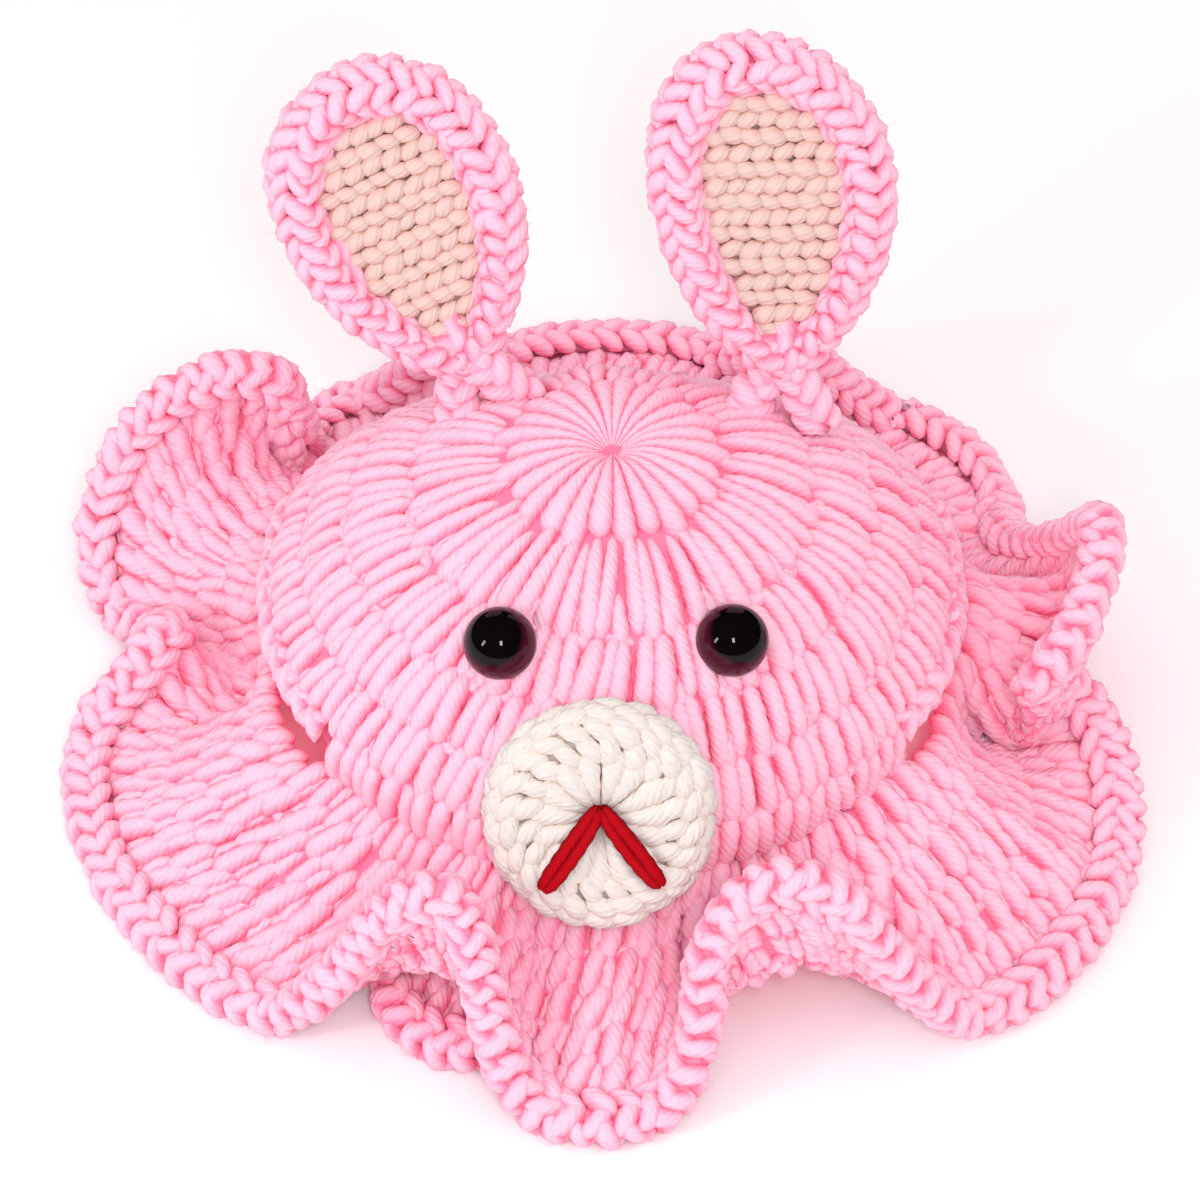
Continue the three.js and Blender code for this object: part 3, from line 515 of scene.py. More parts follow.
def first_round():
    """The long stitches that radiate from the crown's middle."""
    count = FIRST_ROUND_STITCHES
    azimuth = 360 * (np.arange(count) + 0.5 + RANDOM.normal(0, 0.06, count)) / count
    t = steps_along(FIRST_STEPS, 0.5)
    reach = np.where(np.arange(count) % 2, *FIRST_ENDS)[:, None] + scatter(0.03, count)
    around = azimuth[:, None] + scatter(0.1, count) * (t - 0.5) * 360 / count
    s = 0.01 + (reach - 0.01) * t
    dimple = -DIMPLE_DEPTH * (1 - smoothstep(s, 0, DIMPLE_REACH))
    lift = -FABRIC / 2 - FIRST_SINK + dimple + FIRST_ARCH * np.sin(np.pi * t) + scatter(0.15, count)
    points, normals, radius = crown_at(around, s, lift)
    ends = round_ends(t, *LONG_ENDS) * (1 + scatter(0.05, count))
    half_width = radiating_half(radius, count) * ends
    half_height = np.clip(0.6 + FLATTENING * half_width, 0.9, THICKEST) * ends
    return strand_mesh(points, normals, half_width, half_height)


def crown_round(number):
    """One round of tall stitches under the first."""
    middle = crown_at(0.0, number - 0.5, 0.0)[2]
    count = round(2 * np.pi * float(middle) / CROWN_PITCH)
    step = 360 / count
    azimuth = (np.arange(count) + ROUND_SHIFT * number + RANDOM.normal(0, PITCH_SCATTER, count)) * step
    if number == len(CROWN_ROUNDS):
        azimuth = azimuth[slit_share(azimuth) < 0.5]

    def place(x, t, lift):
        points, normals, _ = crown_at(azimuth[:, None] + x * step, number - 1 + t, lift - FABRIC / 2)
        return points, normals

    return tall_stitches(place, len(azimuth), CROWN_STRANDS)


def crown_backing():
    """A thin skin in the middle of the fabric, which closes the gaps. Its deep colour is painted shade,
    seen between the stitches.
    """
    azimuth = np.arange(0, 360, 5.0)
    s = np.concatenate([[0.02, 0.3, 0.6], np.arange(1, 5.01, 0.5)])
    grid = []
    for lift in (BACKING_HALF - FABRIC / 2, -BACKING_HALF - FABRIC / 2):
        rows = []
        for value in s:
            dimple = -BACKING_DIMPLE * (1 - smoothstep(value, 0, DIMPLE_REACH))
            rows.append(crown_at(azimuth, value, lift + dimple)[0])
        last = 5 + (1 - (1 - SLIT_EDGE) * slit_share(azimuth)) * 0.98
        rows.append(crown_at(azimuth, last, lift)[0])
        grid.append(rows)
    return sheet_mesh(np.array(grid[0] + grid[1][::-1]), False)


def slit_edge():
    """The rope of loops that runs free over each side slit."""
    parts = []
    for low, high in SLITS:
        azimuth = np.linspace(low + SLIT_RAMP / 2, high - SLIT_RAMP / 2, 40)
        path, normals = crown_at(azimuth, 5 + SLIT_EDGE, SLIT_ROPE - FABRIC / 2)[:2]
        for slant, shift in SLIT_ROWS:
            parts.append(slanted_row(path, normals, SLIT_PITCH, slant, SLIT_REACH, SLIT_STRAND,
                                     SLIT_BEND, False, shift))
    return parts


def make_crown(material):
    upper = [crown_backing(), first_round()] + crown_round(2) + crown_round(3)
    lower = crown_round(4) + crown_round(5) + crown_round(6) + slit_edge()
    make_piece("crown_upper_rounds", upper, material, "crown")
    make_piece("crown_lower_rounds", lower, material, "crown")
    return upper + lower


# Brim

def fold_value(join, column):
    """A smooth value between the folds, going once round."""
    at = np.concatenate([FOLDS[-2:, 0] - 360, FOLDS[:, 0], FOLDS[:3, 0] + 360])
    turn = 360 if column == 1 else 0
    value = np.concatenate([FOLDS[-2:, column] - turn, FOLDS[:, column], FOLDS[:3, column] + turn])
    join = np.asarray(join, float)
    i = np.searchsorted(at, join, side="right") - 1
    span = at[i + 1] - at[i]
    slope_a = (value[i + 1] - value[i - 1]) / (at[i + 1] - at[i - 1]) * span
    slope_b = (value[i + 2] - value[i]) / (at[i + 2] - at[i]) * span
    t = (join - at[i]) / span
    rise = value[i + 1] - value[i]
    bend = 3 * rise - 2 * slope_a - slope_b + t * (slope_a + slope_b - 2 * rise)
    return value[i] + t * (slope_a + t * bend)


BRIM_COLUMNS = 1440
BRIM_STEPS = 53
CURVE_STEPS = 49  # steps along a curve from the join to the hem before they are evened out
DEEPEST_SAG, HALVINGS = 70.0, 24  # the search for the sag that gives the brim its depth


def join_azimuth(columns):
    return columns * 360 / BRIM_COLUMNS - 180


def hem_points(join, least_height):
    """Points of the hem, none lower than least_height, for azimuths at the join."""
    height = np.maximum(fold_value(join, 3), least_height)
    return at_azimuth(fold_value(join, 1), fold_value(join, 2), height)


def brim_grid():
    """Middle of the brim's fabric: (round the join, distance from it, xyz)."""
    join = join_azimuth(np.arange(BRIM_COLUMNS))
    start, end = at_azimuth(join, JOIN_RADIUS, JOIN_HEIGHT), hem_points(join, 0)
    chord = unit(end - start)
    sag = at_azimuth(join, SAG_OUTWARD, -1.0)
    sag = unit(sag - (sag * chord).sum(-1, keepdims=True) * chord)
    middle = (start + end) / 2
    t = np.linspace(0, 1, CURVE_STEPS)[:, None, None]

    def bent(depth):
        control = middle + sag * depth[:, None]
        return (1 - t) ** 2 * start + 2 * t * (1 - t) * control + t ** 2 * end

    near, far = np.zeros(len(join)), np.full(len(join), DEEPEST_SAG)
    for _ in range(HALVINGS):
        depth = (near + far) / 2
        length = np.linalg.norm(np.diff(bent(depth), axis=0), axis=-1).sum(0)
        near, far = np.where(length < BRIM_DEPTH, depth, near), np.where(length < BRIM_DEPTH, far, depth)
    line = bent(near)
    line[..., 2] = np.maximum(line[..., 2], FABRIC / 2)
    grid = np.zeros((len(join), BRIM_STEPS, 3))
    along = np.concatenate([np.zeros((1, len(join))),
                            np.cumsum(np.linalg.norm(np.diff(line, axis=0), axis=-1), 0)])
    for column in range(len(join)):
        distance = np.linspace(0, along[-1, column], BRIM_STEPS)
        for axis in range(3):
            grid[column, :, axis] = np.interp(distance, along[:, column], line[:, column, axis])
    return grid


BRIM = brim_grid()
BRIM_AROUND = np.roll(BRIM, -1, 0) - np.roll(BRIM, 1, 0)
BRIM_NORMAL = unit(np.cross(np.gradient(BRIM, axis=1), BRIM_AROUND))


def brim_sample(grid, column, distance):
    """Bilinear look-up: column counts sections, distance is in millimetres from the join."""
    column = np.mod(column, BRIM_COLUMNS)
    i = np.floor(column).astype(int)
    a = (column - i)[..., None]
    i, n = i % BRIM_COLUMNS, (i + 1) % BRIM_COLUMNS
    distance = np.clip(distance, 0, BRIM_DEPTH) * (BRIM_STEPS - 1) / BRIM_DEPTH
    j = np.minimum(np.floor(distance).astype(int), BRIM_STEPS - 2)
    b = (distance - j)[..., None]
    near = grid[i, j] * (1 - a) + grid[n, j] * a
    far = grid[i, j + 1] * (1 - a) + grid[n, j + 1] * a
    return near * (1 - b) + far * b


def brim_at(column, distance, lift):
    column, distance, lift = np.broadcast_arrays(column, distance, lift)
    normal = unit(brim_sample(BRIM_NORMAL, column, distance))
    return brim_sample(BRIM, column, distance) + normal * lift[..., None], normal


def even_columns(distance, pitch):
    """Columns of the brim's grid spaced evenly along one line round it."""
    line = brim_sample(BRIM, np.arange(BRIM_COLUMNS), np.full(BRIM_COLUMNS, float(distance)))
    step = np.linalg.norm(np.roll(line, -1, 0) - line, axis=-1)
    along = np.concatenate([[0], np.cumsum(step)])
    count = round(along[-1] / pitch)
    places = (np.arange(count) + 0.5) / count * along[-1]
    return np.interp(places, along, np.arange(BRIM_COLUMNS + 1))


BRIM_ROWS = ((0.6, 16.8), (16.4, 32.6), (32.2, 46.5))  # each row's span of distance from the join


def column_steps(columns):
    """Each stitch's own width in columns, from its neighbours."""
    return (np.roll(columns, -1) - np.roll(columns, 1)) % BRIM_COLUMNS / 2


SLIT_GAP = 4.5  # how far the first row keeps from the crown's edge under a slit
BACKING_DEPTH = 49.0


def brim_row(low, high):
    columns = even_columns((low + high) / 2, BRIM_PITCH)
    step = column_steps(columns)
    columns = columns + RANDOM.normal(0, PITCH_SCATTER, len(columns)) * step
    start = (low + SLIT_GAP * slit_share(join_azimuth(columns)) * (low < 1))[:, None]

    def place(x, t, lift):
        return brim_at(columns[:, None] + x * step[:, None], start + (high - start) * t + 0 * x, lift)

    return tall_stitches(place, len(columns), BRIM_STRANDS)


def brim_backing():
    columns = np.arange(0, BRIM_COLUMNS, 6.0)
    start = 0.5 + (SLIT_GAP + 0.7) * slit_share(join_azimuth(columns))
    rows = []
    shares = np.linspace(0, 1, 11)
    for lift, order in ((BACKING_HALF, shares), (-BACKING_HALF, shares[::-1])):
        for share in order:
            rows.append(brim_at(columns, start + (BACKING_DEPTH - start) * share, lift)[0])
    # This skin closes the gaps; its deep colour is painted shade, seen between the stitches
    return sheet_mesh(np.array(rows).transpose(1, 0, 2), True)


# Rows of strands round the hem: how far each row's line stands outward and upward from the hem's
# middle, the outward and upward shares of the way it faces, the edge it bends over, pitch, slant,
# reach, radius and shift
HEM_ROWS = (
    (3.0, 0.2, 1.0, 0.1, 3.0, 5.6, 62, 8.6, 2.3, 0.0),
    (1.2, 2.6, 0.35, 0.95, 4.0, 5.6, -40, 8.4, 2.3, 0.3),
    (-2.6, 2.9, -0.2, 1.0, 8.0, 5.6, 36, 8.4, 2.2, 0.6),
    (1.0, -2.4, 0.35, -0.95, 4.0, 5.6, -40, 8.4, 2.2, 0.3),
    (-2.6, -2.2, -0.2, -1.0, 8.0, 5.6, 36, 8.4, 2.1, 0.6),
)
HEM_CORE = 3.3  # radius of the closed inside of the hem


def hem_rows(centre, outward, upward, closed, shade_shift=0.0):
    parts = []
    for out, up, face_out, face_up, bend, pitch, slant, reach, radius, shift in HEM_ROWS:
        normal = unit(outward * face_out + upward * face_up)
        path = centre + outward * out + upward * up
        parts.append(slanted_row(path, normal, pitch, slant, reach, radius, bend, closed, shift, shade_shift))
    return parts


def make_brim(material):
    fluffy, worked = [], []
    for number, (low, high) in enumerate(BRIM_ROWS, 1):
        parts = brim_row(low, high)
        fluffy += parts
        worked.append(make_piece(f"brim_row_{number}", parts, material, "brim"))
    worked.append(make_piece("brim_tucked_pleat", tucked_pleat(), material, "brim"))
    fabric = make_piece("brim_fabric", [brim_backing()], material, "brim")
    return fluffy, fabric, worked


def make_hem(material):
    centre = hem_points(join_azimuth(np.arange(0, BRIM_COLUMNS, 2)), HEM_REST + HEM_RAISE)
    outward, upward = unit(BRIM[::2, -1] - BRIM[::2, -4]), BRIM_NORMAL[::2, -2]
    parts = hem_rows(centre, outward, upward, True)
    ring = once_round(8)[None, :, None]
    core = centre[:, None] + HEM_CORE * (np.cos(ring) * outward[:, None] + np.sin(ring) * upward[:, None])
    # The hem's closed inside is painted a mid shade, for the shade in the holes between its strands
    parts.append(sheet_mesh(core[::2], True, 0.35))
    return parts, make_piece("hem_stitches", parts, material, "hem_edging")


def tucked_pleat():
    """The pleat that lies tucked under the crest, in the shade. The crest's shadow is painted into its
    strands, and its skin is deep as painted shade.
    """
    count = TUCK_STITCHES
    root_radius, root_height = TUCK_ROOT
    azimuth = np.interp(np.arange(count) + 0.5, [0, count], [TUCK[0, 0], TUCK[-1, 0]])
    step = (TUCK[-1, 0] - TUCK[0, 0]) / count

    def pleat_at(turn, t, lift):
        reach = np.interp(turn, TUCK[:, 0], TUCK[:, 1]) - TUCK_HEM
        radius = root_radius + (reach - root_radius) * t
        height = root_height + (FABRIC / 2 - root_height) * smoothstep(t, -0.2, 0.8) + lift
        return at_azimuth(turn, radius, height), np.broadcast_to([0.0, 0, 1], (*turn.shape, 3))

    def place(x, t, lift):
        return pleat_at(azimuth[:, None] + x * step, t + 0 * x, lift)

    edge = np.linspace(TUCK[0, 0], TUCK[-1, 0], 30)
    rim, up = pleat_at(edge, 1.0 + 0 * edge, 1.0 + 0 * edge)
    outward = unit(at_azimuth(edge, 1.0, 0.0))
    turn = np.linspace(TUCK[0, 0], TUCK[-1, 0], 9)
    layers = []
    for lift, order in ((TUCK_SKIN, TUCK_LAYERS), (-TUCK_SKIN, TUCK_LAYERS[::-1])):
        layers += [pleat_at(turn, t + 0 * turn, lift + 0 * turn)[0] for t in order]
    sheet = sheet_mesh(np.array(layers).transpose(1, 0, 2), False)
    parts = tall_stitches(place, count, BRIM_STRANDS, TUCK_SHADE)
    return parts + hem_rows(rim, outward, up, False, TUCK_SHADE) + [sheet]


# Ears

def ear_axes(ear):
    back = math.radians(EAR_LEAN_BACK)
    right = np.array([1.0, 0, 0])
    up = np.array([0, math.sin(back), math.cos(back)])
    return right, up, np.cross(right, up), np.array(ear["crossing"], float)


def ear_place(ear, sideways, up, depth):
    """A point of the ear: sideways and up from the crossing with its lean and bend, and depth."""
    right, upward, front, origin = ear_axes(ear)
    lean = math.radians(ear["lean"])
    share = np.maximum(up, 0) / ear["length"]
    bent = sideways + ear["bend"] * share ** 2
    x = bent * math.cos(lean) + up * math.sin(lean)
    y = up * math.cos(lean) - bent * math.sin(lean)
    return origin + x[..., None] * right + y[..., None] * upward + (depth + 0 * x)[..., None] * front


def teardrop_share(turn, point):
    """Half width of a teardrop at turn round from its bottom, as a share of its widest."""
    cosine = -point / (2 + point)
    widest = np.sqrt(1 - cosine ** 2) * ((1 - cosine) / 2) ** (point / 2)
    return np.sin(turn) * ((1 - np.cos(turn)) / 2) ** (point / 2) / widest


def teardrop(ear, table, q, turn, inset=0.0):
    """Points on the skin that a table of teardrop outlines describes: q counts outlines, turn goes
    round from the bottom in radians."""
    index = np.clip(q, 0, len(table) - 1)
    half, bottom, below, point, depth = (np.interp(index, np.arange(len(table)), table[:, k])
                                         for k in range(5))
    half, bottom, below = half - inset, bottom + inset, below + inset
    share = (1 - np.cos(turn)) / 2
    sideways = half * teardrop_share(turn, point)
    return ear_place(ear, sideways, bottom + share * (ear["length"] - below - bottom), depth)


def teardrop_loop(ear, q):
    """A loop round the ear's dish at q with its outward normals."""
    turn = once_round(120) + POINT_CLEARANCE
    inner, here, outer = (teardrop(ear, EAR_DISH, np.full(len(turn), place), turn)
                          for place in (q - 0.15, q, q + 0.15))
    along = np.roll(here, -1, 0) - np.roll(here, 1, 0)
    return here, unit(np.cross(outer - inner, along))


# Rows of strands round the ear, from the rim's inner edge to the back: place in the table of outlines,
# pitch, slant, reach and radius
EAR_ROWS = (
    (1.55, 5.4, 14, 8.2, 2.0), (2.4, 4.9, 46, 7.6, 2.1), (3.2, 4.9, -42, 7.6, 2.15),
    (3.95, 4.9, 42, 7.8, 2.15), (4.85, 4.9, -42, 7.8, 2.15), (5.7, 4.9, 42, 7.6, 2.1),
    (6.3, 4.9, -42, 7.6, 2.1), (6.75, 4.9, 42, 7.6, 2.1),
)
# Rows on the ear's flat back: how far inside its outline, and slant
EAR_BACK_ROWS = ((0.6, -42), (5.0, 42), (9.2, -42))
EAR_BACK_MIDDLE = (16, 24)  # the column in the middle starts and ends this far from the ear's ends
EAR_BACK_DEPTH = -5.4
EAR_COLUMN = (4.6, 60, 7.4)  # that column's pitch, slant and reach
STITCH_DEPTH = 1.6  # how deep the strands' middles lie in the ear's fabric
RIM_BEND, FLAT_BEND = 5.0, 20.0  # the edges that strands bend over on the rim and on the back
EAR_PITCH, EAR_REACH, EAR_STRAND = 4.9, 7.6, 2.1
POINT_CLEARANCE = 0.013  # keeps a loop's places off its point at the bottom, in radians


def make_ear(ear, material):
    parts = [ear_core(ear)]
    for q, pitch, slant, reach, radius in EAR_ROWS:
        loop, normal = teardrop_loop(ear, q)
        path = loop - normal * STITCH_DEPTH
        parts.append(slanted_row(path, normal, pitch, slant, reach, radius, RIM_BEND, True))
    front = ear_axes(ear)[2]
    turn = once_round(90)
    facing = np.tile(-front, (len(turn), 1))
    outline = np.full(len(turn), len(EAR_DISH) - 1.0)
    for inset, slant in EAR_BACK_ROWS:
        path = teardrop(ear, EAR_DISH, outline, turn, inset) + STITCH_DEPTH * front
        parts.append(slanted_row(path, facing, EAR_PITCH, slant, EAR_REACH, EAR_STRAND, FLAT_BEND, True))
    low, below_top = EAR_BACK_MIDDLE
    up = np.linspace(low, ear["length"] - below_top, 30)
    path = ear_place(ear, 0 * up, up, EAR_BACK_DEPTH)
    facing = np.tile(-front, (len(up), 1))
    parts.append(slanted_row(path, facing, *EAR_COLUMN, EAR_STRAND, FLAT_BEND, False))
    parts += ear_legs(ear)
    make_piece(f"{ear['name']}_stitches", parts, material, ear["name"])
    return parts


CORE_INSET = 2.0  # how far the closed inside of an ear lies under its skin


def ear_core(ear):
    """The closed inside of the ear, in the shade of its stitches."""
    turn = once_round(40)
    front = ear_axes(ear)[2]
    rows = []
    for q in np.arange(0, len(EAR_DISH) - 0.99, 0.5):
        loop = teardrop(ear, EAR_DISH, np.full(40, q), turn, CORE_INSET if 2.5 < q < 6.6 else 0.0)
        depth = np.interp(q, np.arange(len(EAR_DISH)), EAR_DISH[:, 4])
        inward = -CORE_INSET if depth > 0 or q < 1.4 else CORE_INSET
        rows.append(loop + front * inward)
    return sheet_mesh(np.array(rows), False)


LEG_TOP = 6.0  # a leg starts this far above the crossing
LEG_INWARD, LEG_SPREAD, LEG_CURVE = 4.0, 12.5, 0.8  # its start and run to the side, and how it curves
LEG_CORE = 3.0  # radius of its inside, on which its four rows of strands lie
LEG_PITCH, LEG_REACH, LEG_STRAND, LEG_BEND = 5.2, 8.4, 2.6, 3.4
LEG_ROWS = ((55, -40, 0.0), (125, 40, 0.5), (235, -40, 0.0), (305, 40, 0.5))  # angle, slant, shift


def ear_legs(ear):
    """The two sides of the rim cross and run down to the crown, where they flare."""
    parts = []
    front = ear_axes(ear)[2]
    for sign in (-1, 1):
        t = np.linspace(0, 1, 30)
        sideways = sign * (LEG_SPREAD * t ** LEG_CURVE - LEG_INWARD)
        depth = -1 + sign * 1.5 * np.sin(np.pi * t)
        path = ear_place(ear, sideways, LEG_TOP - (FOOT_DROP + LEG_TOP) * t, depth)
        side = unit(np.cross(np.gradient(path, axis=0), front))
        for degrees, slant, shift in LEG_ROWS:
            angle = math.radians(degrees)
            normal = side * math.cos(angle) + front * math.sin(angle)
            rope = path + normal * LEG_CORE
            parts.append(slanted_row(rope, normal, LEG_PITCH, slant, LEG_REACH, LEG_STRAND,
                                     LEG_BEND, False, shift))
        # The leg's inside is a skin in painted shade, deep between its strands
        ring = once_round(10)[None, :, None]
        tube = path[:, None] + LEG_CORE * (np.cos(ring) * side[:, None] + np.sin(ring) * front)
        parts.append(sheet_mesh(tube, False, 0.1))
    return parts


LINING_HALF = 14.6  # half width of the field of stitches, which reaches under the rim
LINING_BELOW, LINING_LONGER = 3.0, 5.5  # it starts lower and is longer than the lining's outline
# The pad under them, painted a mid shade for the shade between the stitches: place in the lining's table,
# and how far it is grown
LINING_PAD = ((0, 0), (0.5, 0), (0.9, 1.5), (1.2, 3.0), (1.8, 3.0), (2.4, 0), (3, 0))
LINING_ROW, LINING_PITCH = 3.5, 4.2
LINING_FIRST, LINING_LAST = 6.0, 12.6  # the first row above the crossing, the last below the ear's top
LINING_RUN, LINING_RISE = 5.2, 2.0  # how far a strand runs sideways, and up or down
LINING_STRAND = (2.0, 1.7)  # its half width and half height


def lining_half_width(ear, up):
    """Half width of the field of stitches at a height above the crossing."""
    bottom, below_top, point = EAR_LINING[1, 1:4]
    length = ear["length"] - below_top - bottom + LINING_LONGER
    share = np.clip((up - bottom + LINING_BELOW) / length, 0, 1)
    return float(LINING_HALF * teardrop_share(np.arccos(1 - 2 * share), point))


def make_lining(ear, material):
    """The pale lining, worked in short rows."""
    turn = once_round(40)
    front = ear_axes(ear)[2]
    pad = []
    for q, grow in LINING_PAD:
        pad.append(teardrop(ear, EAR_LINING, np.full(40, float(q)), turn, -grow) - 0.7 * front)
    parts = [sheet_mesh(np.array(pad), False, 0.4)]
    for number, up in enumerate(np.arange(LINING_FIRST, ear["length"] - LINING_LAST, LINING_ROW)):
        half = lining_half_width(ear, up)
        count = max(round(2 * half / LINING_PITCH), 1)
        leaning = 1 if number % 2 else -1
        places = (np.arange(count) + 0.5 + 0.2 * leaning) / count * 2 * half - half
        t = steps_along(8)
        sideways = places[:, None] + (t - 0.5) * LINING_RUN
        rise = up + (t - 0.5) * LINING_RISE * leaning + scatter(0.2, count)
        depth = 0.6 + 1.0 * np.sin(np.pi * t) + scatter(0.2, count)
        points = ear_place(ear, sideways, rise, depth)
        size = round_ends(t, *SHORT_ENDS) * (1 + scatter(ROW_SIZE_SCATTER, count))
        normals = np.broadcast_to(front, points.shape)
        parts.append(strand_mesh(points, normals, *(half * size for half in LINING_STRAND)))
    make_piece(f"{ear['name']}_lining_stitches", parts, material, f"{ear['name']}_lining")


# Face

def facing_axes(normal):
    right = unit(np.cross(np.array([0.0, 0, 1]), normal))
    return right, np.cross(normal, right), normal


def muzzle_axes():
    tilt = math.radians(MUZZLE_TILT)
    return facing_axes(np.array([0, -math.cos(tilt), math.sin(tilt)]))


def muzzle_place(x, y, depth):
    right, up, normal = muzzle_axes()
    x, y, depth = np.broadcast_arrays(x, y, depth)
    return np.array(MUZZLE_CENTRE) + x[..., None] * right + y[..., None] * up + depth[..., None] * normal


# Radius and depth of the muzzle's closed inside, from the middle of its face to its back. It is painted a
# mid shade, for the shade between the stitches over it.
MUZZLE_CORE = ((0.4, 2.6), (4, 3.4), (12, 4.4), (19.5, 4.2), (21.2, 1.5), (20.0, -1.5), (14, -4.0))
# Rings of strands round it: radius, height, how far it faces outward, pitch, slant, reach and radius
MUZZLE_RINGS = ((14.8, 5.4, 0.0, 4.6, 66, 7.4, 2.1), (18.6, 5.2, 0.1, 5.2, 35, 7.8, 2.1),
                (21.2, 3.4, 0.9, 6.0, 14, 9.0, 2.1), (21.8, 0.6, 3.0, 6.0, -14, 9.0, 2.1))
# Its stitches that radiate: number, where they start, how far they reach, height and pinched middle
SPOKES, SPOKE_START, SPOKE_REACH = 15, 0.8, 13.6
SPOKE_HEIGHT, SPOKE_ARCH = 4.9, 0.8
PINCH_DEPTH, PINCH_RADIUS = 2.1, 7.0
MUZZLE_BEND = 9.0  # the edge that its rings bend over


def make_muzzle(material):
    """The round patch: stitches radiating from a pinched middle, a round of short ones and a rim."""
    count = SPOKES
    t = steps_along(13)
    angle = 2 * np.pi * (np.arange(count) + 0.25 + RANDOM.normal(0, 0.05, count))[:, None] / count + 0 * t
    radius = SPOKE_START + SPOKE_REACH * t + scatter(0.4, count) * t
    pinch = -PINCH_DEPTH * (1 - smoothstep(radius, 0, PINCH_RADIUS))
    depth = SPOKE_HEIGHT + pinch + SPOKE_ARCH * np.sin(np.pi * t) + scatter(0.15, count)
    points = muzzle_place(radius * np.cos(angle), radius * np.sin(angle), depth)
    normal = muzzle_axes()[2]
    half = radiating_half(radius, count) * round_ends(t, 5, 0.4)
    parts = [strand_mesh(points, np.broadcast_to(normal, points.shape), half, np.minimum(half + 0.5, 2.3))]

    turn = once_round(90)
    radial = muzzle_place(np.cos(turn), np.sin(turn), 0.0) - np.array(MUZZLE_CENTRE)
    for ring, height, tilt, pitch, slant, reach, strand in MUZZLE_RINGS:
        path = muzzle_place(ring * np.cos(turn), ring * np.sin(turn), height)
        outward = unit(normal + radial * tilt)
        parts.append(slanted_row(path, outward, pitch, slant, reach, strand, MUZZLE_BEND, True))
    turn = once_round(48)
    rows = []
    for radius, depth in MUZZLE_CORE:
        rows.append(muzzle_place(radius * np.cos(turn), radius * np.sin(turn), depth))
    parts.append(sheet_mesh(np.array(rows), False, 0.3))
    make_piece("muzzle_stitches", parts, material, "muzzle")
    return parts


MOUTH_START = (0.5, 1.2)  # a stitch starts this far beside the middle and above the mouth's top
MOUTH_HEIGHT, MOUTH_ARCH, MOUTH_SINK = 7.4, 1.3, 2.5  # over the muzzle, and where its ends go in
MOUTH_PLY = (1.35, 1.5)  # half width and half height of each of its two plies
PLIES_APART, PLIES_SPREAD = 0.35, 0.75  # half the distance between them at the ends, more between


def make_mouth(name, x, y, material):
    """One straight stitch of red yarn, from the pinched middle outward."""
    side = 1 if x > 0 else -1
    start = np.array([side * MOUTH_START[0], MOUTH_TOP + MOUTH_START[1]])
    end = np.array([x, y])
    t = np.linspace(0, 1, 26)
    place = start + (end - start) * t[:, None]
    along = (end - start) / np.linalg.norm(end - start)
    arch = np.sin(np.pi * t) ** 0.5
    wide, high = MOUTH_PLY
    parts = []
    for ply in (-1, 1):
        offset = ply * (PLIES_APART + PLIES_SPREAD * arch)
        depth = MOUTH_HEIGHT + MOUTH_ARCH * arch - MOUTH_SINK * np.abs(2 * t - 1) ** 10 + 0.2 * ply
        points = muzzle_place(place[:, 0] - along[1] * offset, place[:, 1] + along[0] * offset, depth)[None]
        normals = np.broadcast_to(muzzle_axes()[2], points.shape)
        size = round_ends(t, 8, 0.5)[None]
        parts.append(strand_mesh(points, normals, wide * size, high * size))
    make_piece(f"{name}_stitch", parts, material, name)


def eye_axes(azimuth):
    inner, outer = CROWN_ROUNDS[1], CROWN_ROUNDS[2]
    share = (EYE_DISTANCE - inner[0]) / (outer[0] - inner[0])
    height = CROWN_TOP - (inner[1] + (outer[1] - inner[1]) * share)
    run, fall = outer[0] - inner[0], outer[1] - inner[1]
    length = math.hypot(run, fall)
    angle = math.radians(azimuth)
    normal = np.array([fall / length * math.sin(angle), -fall / length * math.cos(angle), run / length])
    return at_azimuth(azimuth, EYE_DISTANCE, height), *facing_axes(normal)


EYE_BACK = 2.5  # angle from the ball's front at which it meets its post, in radians
# The post: radius and height
EYE_POST = [(2.6, -4.8), (2.5, -6.0), (2.5, -10.5), (1.0, -10.6)]
# The wine-red rim is partly the plastic's own edge and partly a painted reflection of the pink yarn round
# the eye
EYE_RIM = (3.4, 5.8)  # heights over the fabric between which the wine-red rim fades


def make_eye(name, azimuth, material):
    """A safety eye: a polished ball on its post."""
    origin, right, up, normal = eye_axes(azimuth)
    turn = once_round(48)
    rows = []
    for angle in np.linspace(0.03, EYE_BACK, 28):
        rows.append((EYE_RADIUS * math.sin(angle), EYE_STANDOFF + EYE_RADIUS * math.cos(angle)))
    rows += EYE_POST
    grid = np.array([[origin + radius * (math.cos(a) * right + math.sin(a) * up) + height * normal
                      for a in turn] for radius, height in rows])
    part = sheet_mesh(grid, False)
    heights = np.repeat([row[1] for row in rows], len(turn))
    # The rim's share is kept as the shade and paints the wine-red rim, partly a painted reflection of the
    # yarn
    rim = 1 - smoothstep(heights - EYE_STANDOFF, *EYE_RIM)
    part["shade"] = np.concatenate([rim, [0.0, 1.0]])
    make_piece(f"{name}_ball", [part], material, name)


PINK_FIBRES, CREAM_FIBRES = 9000, 1500
FIBRE_RADII = np.array([0.04, 0.035, 0.02])  # at its root, bend and tip
FIBRE_SIDES = 3
FIBRE_LENGTHS = (0.8, 2.6)
FIBRE_ROOT = 0.3  # how deep it starts in the strand


